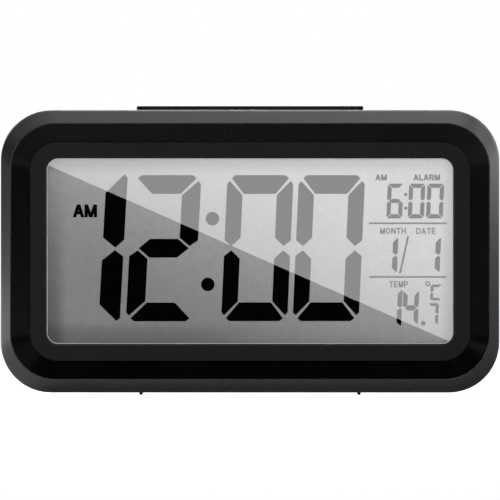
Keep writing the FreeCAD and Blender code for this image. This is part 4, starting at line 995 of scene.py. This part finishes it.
# ---------------------------------------------------------------- buttons and signs
def snooze_bar():
    """Hollow bar: a rounded plan carried through rows of inset, corner radius and height, from
    the middle of its inside to the middle of its outside. Its top is lowered by v^2 / 2R, so
    that it is crowned from front to back. Three plungers stand under its roof."""
    low, high = box_mm("snooze_button")
    flange, skin, crown_r = 1.2, 1.2, 200.0
    size = (high.x - low.x - 2 * flange, high.y - low.y - 2 * flange)
    middle = ((low.x + high.x) / 2, (low.y + high.y) / 2)
    half = size[1] / 2
    roof = high.z - half ** 2 / (2 * crown_r) - skin
    brim = low.z + flange
    rows = soften_stack([
        (half, 0.0, roof), (half - 2, 0.2, roof), (skin, 0.8, roof), (skin, 0.8, low.z),
        (-flange, 3.2, low.z), (-flange, 3.2, brim), (0.0, 2.0, brim), (0.0, 2.0, high.z),
        (2.5, 0.8, high.z), (4.5, 0.2, high.z), (half, 0.0, high.z),
    ], [0, 0, 0.2, 0.1, 0.15, 0.15, 0.1, 0.35, 0, 0, 0])
    upper_part = high.z - 2.0

    def crown(u, v, inset):
        """How far the top lies below its highest line."""
        outside = np.arange(len(rows))[:, None] > len(rows) // 2
        return (outside & (rows[:, 2, None] > upper_part)) * v ** 2 / (2 * crown_r)

    shell = Shell().stack(rows, middle, size, crown, arc=10, straight=16, upright=True)
    plunger_r, spacing, root = 2.0, 22.0, roof + 0.3
    for x in (-spacing, 0.0, spacing):
        shell.lathe([(0, root), (plunger_r, root), (plunger_r, low.z), (0, low.z)],
                    (x, middle[1]), upright=True)
    shell.make("snooze_bar", "snooze", "button_plastic", FINISHES["button"], ["snooze_button"],
               weld=0.002)


def keys():
    """Four keys: a rounded block with a shallow dish, and a flange behind the panel.

    Rows of inset, corner radius and height lead from the middle of the inside to the middle of
    the outside. The dish is lowered by d (1 - (v / V)^2) (1 - (u / U)^4), and fades in across
    its rim."""
    flange, flange_thick = 1.1, 1.0
    deep, rim, reach_u, reach_v = 0.18, 0.9, 4.0, 2.2
    for name in ("mode", "set", "up", "down"):
        low, high = box_mm(name + "_key")
        size = (high.x - low.x - 2 * flange, high.z - low.z - 2 * flange)
        middle = ((low.x + high.x) / 2, (low.z + high.z) / 2)
        half = size[1] / 2
        brim = low.y + flange_thick
        rows = soften_stack([
            (half, 0.0, low.y), (half - 1.2, 0.3, low.y), (-flange, 1.6, low.y),
            (-flange, 1.6, brim), (0.0, 1.6, brim), (0.0, 1.6, high.y), (0.9, 1.0, high.y),
            (1.8, 0.5, high.y), (half, 0.0, high.y),
        ], [0, 0, 0.1, 0.1, 0.08, 0.4, 0, 0, 0])

        def dish(u, v, inset):
            """How far the face of the key is hollowed."""
            outside = np.arange(len(rows))[:, None] > len(rows) // 2
            across = np.clip(1 - (v / reach_v) ** 2, 0, 1) * np.clip(1 - (u / reach_u) ** 4, 0, 1)
            return outside * np.clip(inset / rim, 0, 1) * deep * across

        shell = Shell().stack(rows, middle, size, dish, arc=8, straight=10)
        shell.make(name + "_cap", name, "button_plastic", FINISHES["button"], [name + "_key"],
                   weld=0.002)


def back_signs(sizes):
    """Words beside the keys and switches and an arrow in the door's recess, printed on the
    back."""
    above_key, above_switch, beside_switch, switch_x = 4.9, 2.45, 4.8, 46.0
    title, choice = 0.8, 0.75
    signs = []
    for name in ("mode", "set", "up", "down"):
        low, high = box_mm(name + "_key")
        place = ((low.x + high.x) / 2, (low.z + high.z) / 2 + above_key)
        signs.append((name.upper(), place, 1.0))
    for text, z, left, right in (("ALARM", 22.0, "OFF", "ON"), ("HOUR", 37.0, "12", "24")):
        signs += [(text, (switch_x, z + above_switch), title),
                  (left, (switch_x - beside_switch, z), choice),
                  (right, (switch_x + beside_switch, z), choice)]
    ink, height = sizes.ink / MM, sizes.label / MM
    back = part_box("rear_case")[1].y / MM
    panel, recess = back - 1.2, back - 0.3
    words = Shell()
    for text, place, share in signs:
        back_lettering(words, text, place, height * share, panel + ink, panel - SUNK)
    words.make("back_signs", "case", "case_plastic", FINISHES["sign"])
    door_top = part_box("battery_door")[1].z / MM
    half_w, arrow_top, arrow_tip = 2.1, door_top - 11.06, door_top - 14.4
    arrow = Shell().prism([(-half_w, arrow_top), (half_w, arrow_top), (0.0, arrow_tip)],
                          recess + ink, recess - SUNK)
    arrow.make("door_arrow", "door", "case_plastic", FINISHES["sign"])


# ---------------------------------------------------------------- stage
def background_rays(sheet):
    """Whether a ray comes straight from the camera, from a mirror or through something clear."""
    path = sheet.node("ShaderNodeLightPath").socket.node.outputs
    names = ("Is Camera Ray", "Is Glossy Ray", "Is Transmission Ray")
    return [Wire(sheet, path[name]) for name in names]


def studio_floor():
    """Pale floor, a flat grid whose height is zero everywhere. In front it ends where the
    window would mirror it. It glows for straight rays, and faintly for mirrored ones."""
    reach, front_end, lines = 6000.0, -1900.0, 9
    glow_straight, glow_mirrored = 0.88, 0.05
    x, y = np.meshgrid(np.linspace(-reach, reach, lines), np.linspace(front_end, reach, lines),
                       indexing="ij")
    points = np.stack([x, y, np.zeros_like(x)], -1).reshape(-1, 3) * MM
    index = np.arange(lines ** 2).reshape(lines, lines)
    faces = np.stack([index[:-1, :-1], index[1:, :-1], index[1:, 1:], index[:-1, 1:]], -1)
    mesh = bpy.data.meshes.new("studio_floor")
    mesh.from_pydata(points.tolist(), [], faces.reshape(-1, 4).tolist())
    floor = placed(bpy.data.objects.new("studio_floor", mesh))
    sheet = Sheet(bpy.data.materials.new("floor_paint"))
    camera, glossy, through = background_rays(sheet)
    strength = (camera + through) * glow_straight + glossy * glow_mirrored
    darker, lighter = (0.78, 0.78, 0.78), (0.82, 0.82, 0.82)
    colour = sheet.blend(sheet.noise(size=0.03, detail=2.0), darker, lighter)
    paint = sheet.node("ShaderNodeBsdfDiffuse", None, {"Color": colour})
    glow = sheet.node("ShaderNodeEmission", None, {"Strength": strength})
    mesh.materials.append(sheet.output(sheet.node("ShaderNodeAddShader", None,
                                                  {0: paint, 1: glow})))


def studio_world():
    """World that shows white to straight rays, and lights the object faintly, more from
    behind."""
    front_level, back_rise = 0.003, 0.5
    world = bpy.data.worlds.new("studio")
    bpy.context.scene.world = world
    sheet = Sheet(world)
    camera, _, through = background_rays(sheet)
    backwards = sheet.parts(sheet.node("ShaderNodeTexCoord", output="Generated"))[1]
    level = front_level + backwards.step(0.3, 0.95) * back_rise
    straight = (camera + through).math("MINIMUM", 1.0)
    strength = straight + (1 - straight) * level
    sheet.output(sheet.node("ShaderNodeBackground", None,
                            {"Color": (1, 1, 1, 1), "Strength": strength}))


def lamp(name, place, aim, size, radiance, only=None):
    """Area lamp of a given radiance, turned to its aim: its power is radiance x pi x area.
    only names the one piece that it lights."""
    data = bpy.data.lights.new(name, "AREA")
    data.shape = "RECTANGLE"
    data.size, data.size_y = size
    data.energy = radiance * math.pi * size[0] * size[1]
    item = placed(bpy.data.objects.new(name, data))
    item.location = place
    item.rotation_euler = (Vector(aim) - Vector(place)).to_track_quat("-Z", "Y").to_euler()
    item.visible_camera = False
    if only:
        group = bpy.data.collections.new(name + "_pieces")
        group.objects.link(bpy.data.objects[only])
        item.light_linking.receiver_collection = group
    return item


# Soft boxes and cards: name, place, aim and size in metres, radiance, and the piece that the
# lamp lights, where it lights only one.
RIM, FLOOR = "front_rim", "studio_floor"
LAMPS = (
    ("top_box", (-0.14, 0.09, 0.52), (0.02, 0, 0.04), (0.5, 0.24), 1.2, None),
    ("front_box", (-0.02, -1.25, 0.175), (0, 0, 0.04), (0.6, 0.14), 62.0, None),
    ("back_box", (-0.5, 1.2, 0.75), (0, 0, 0.04), (0.8, 0.5), 4.5, None),
    ("floor_sky", (-1.1, -0.2, 0.9), (0.0, -0.3, 0.0), (1.0, 0.8), 3.0, FLOOR),
    ("floor_box", (-0.20, -0.08, 0.25), (-0.085, -0.01, 0), (0.10, 0.10), 14.0, FLOOR),
    ("top_strip", (0.11, 0.09, 0.50), (0.02, -0.02, 0.06), (0.34, 0.2), 3.75, RIM),
    ("edge_strip", (0.0, 0.5, 0.30), (0, -0.02, 0.077), (0.5, 0.1), 10.2, RIM),
    ("corner_card", (0.31, 0.07, 0.32), (0.055, -0.02, 0.07), (0.16, 0.12), 4.2, RIM),
    ("corner_left", (-0.31, 0.07, 0.32), (-0.055, -0.02, 0.07), (0.16, 0.12), 1.1, RIM),
    ("left_strip", (-0.16, 0.05, 0.014), (-0.0675, -0.02, 0.014), (0.06, 0.030), 3.6, RIM),
    ("right_strip", (0.20, 0.06, 0.101), (0.0675, -0.02, 0.101), (0.10, 0.09), 3.75, RIM),
    ("right_high", (0.20, 0.06, 0.15), (0.0675, -0.02, 0.10), (0.10, 0.06), 1.5, RIM),
    ("left_card", (-0.24, -0.13, 0.125), (0.062, -0.02, 0.125), (0.10, 0.06), 1.6, RIM),
    ("right_card", (0.24, -0.13, 0.000), (-0.062, -0.02, 0.000), (0.10, 0.05), 1.3, RIM),
    ("high_card", (0.13, -0.08, 0.14), (-0.06, -0.02, 0.008), (0.14, 0.14), 0.6, RIM),
)


def glare_card(sizes):
    """Bright card seen only in the window, cut off along a slanting edge.

    The window mirrors the plane of the card at a distance behind itself, so what should look
    as big as at the window grows by 1 + distance / camera distance about the camera's axis."""
    distance, radiance = 0.6, 1.43
    slope, edge_drop = math.atan(-0.4393), 0.75
    grow = 1 + distance / sizes.camera
    width, height = 0.22 * grow, 0.14 * grow
    edge_z = (CAMERA_Z + grow * (WINDOW_Z - edge_drop - CAMERA_Z)) * MM
    place = (-math.sin(slope) * height / 2, RECESS_Y * MM - distance,
             edge_z + math.cos(slope) * height / 2)
    card = lamp("glare_card", place, (place[0], 0.0, place[2]), (width, height), radiance,
                "window_sheet")
    card.rotation_euler = (math.radians(90), -slope, 0)


def studio_lamps(sizes):
    """Every lamp of the list, and the bright card that the window mirrors."""
    for values in LAMPS:
        lamp(*values)
    glare_card(sizes)


def studio_camera(sizes):
    """Camera straight in front, whose view at the widest outline is the frame's width."""
    data = bpy.data.cameras.new("view")
    data.sensor_width = 36.0
    data.lens = data.sensor_width * sizes.camera / (FRAME_STEPS * PIXEL * MM)
    data.clip_start, data.clip_end = 0.1, 50.0
    camera = placed(bpy.data.objects.new("view", data))
    camera.location = (0.0, EDGE_Y * MM - sizes.camera, CAMERA_Z * MM)
    camera.rotation_euler = (math.radians(90), 0, 0)
    bpy.context.scene.camera = camera


# ---------------------------------------------------------------- operators
class ClockOperator:
    """What the operators share"""
    bl_options = {"REGISTER", "UNDO"}


class CLOCK_OT_finishes(ClockOperator, bpy.types.Operator):
    """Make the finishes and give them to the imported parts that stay"""
    bl_idname = "clock.finishes"
    bl_label = "Finishes"

    def execute(self, context):
        make_finishes(context.scene.clock_colours)
        finish_nodes()
        return {"FINISHED"}


class CLOCK_OT_rim(ClockOperator, bpy.types.Operator):
    """Build the front half of the case with its bevel, crest and slope"""
    bl_idname = "clock.rim"
    bl_label = "Front rim"

    def execute(self, context):
        front_rim(context.scene.clock_sizes)
        return {"FINISHED"}


class CLOCK_OT_window(ClockOperator, bpy.types.Operator):
    """Build the flat bezel, the clear pane and the bead at its edge"""
    bl_idname = "clock.window"
    bl_label = "Bezel and window"

    def execute(self, context):
        bezel_frame()
        window_sheet()
        return {"FINISHED"}


class CLOCK_OT_display(ClockOperator, bpy.types.Operator):
    """Build the digits and words of the display"""
    bl_idname = "clock.display"
    bl_label = "Display"

    def execute(self, context):
        display_digits(context.scene.clock_sizes)
        return {"FINISHED"}


class CLOCK_OT_buttons(ClockOperator, bpy.types.Operator):
    """Build the snooze bar and the four keys"""
    bl_idname = "clock.buttons"
    bl_label = "Snooze bar and keys"

    def execute(self, context):
        snooze_bar()
        keys()
        return {"FINISHED"}


class CLOCK_OT_signs(ClockOperator, bpy.types.Operator):
    """Build the printed signs on the back"""
    bl_idname = "clock.signs"
    bl_label = "Signs on the back"

    def execute(self, context):
        back_signs(context.scene.clock_sizes)
        return {"FINISHED"}


class CLOCK_OT_stage(ClockOperator, bpy.types.Operator):
    """Build the floor, the lamps and the camera"""
    bl_idname = "clock.stage"
    bl_label = "Stage"

    def execute(self, context):
        scene = context.scene
        scene.view_settings.view_transform = "Standard"
        studio_floor()
        studio_world()
        studio_lamps(scene.clock_sizes)
        studio_camera(scene.clock_sizes)
        return {"FINISHED"}


OPERATORS = (CLOCK_OT_finishes, CLOCK_OT_rim, CLOCK_OT_window, CLOCK_OT_display,
             CLOCK_OT_buttons, CLOCK_OT_signs, CLOCK_OT_stage)


class CLOCK_PT_panel(bpy.types.Panel):
    """Sizes, colours and pieces of the clock"""
    bl_idname = "CLOCK_PT_panel"
    bl_label = "Digital desk clock"
    bl_space_type = "VIEW_3D"
    bl_region_type = "UI"
    bl_category = "Clock"

    def draw(self, context):
        scene = context.scene
        for settings in (scene.clock_sizes, scene.clock_colours):
            box = self.layout.box()
            for name in settings.__annotations__:
                box.prop(settings, name)
        for operator in OPERATORS:
            self.layout.operator(operator.bl_idname)


CLASSES = (ClockSizes, ClockColours, *OPERATORS, CLOCK_PT_panel)


def register():
    """Add the classes, and the sizes and colours, to Blender."""
    for item in CLASSES:
        bpy.utils.register_class(item)
    bpy.types.Scene.clock_sizes = PointerProperty(type=ClockSizes)
    bpy.types.Scene.clock_colours = PointerProperty(type=ClockColours)


def unregister():
    """Take them out again."""
    del bpy.types.Scene.clock_colours
    del bpy.types.Scene.clock_sizes
    for item in reversed(CLASSES):
        bpy.utils.unregister_class(item)


def main():
    """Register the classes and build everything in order."""
    register()
    for operator in OPERATORS:
        group, name = operator.bl_idname.split(".")
        getattr(getattr(bpy.ops, group), name)()


if __name__ == "__main__":
    main()
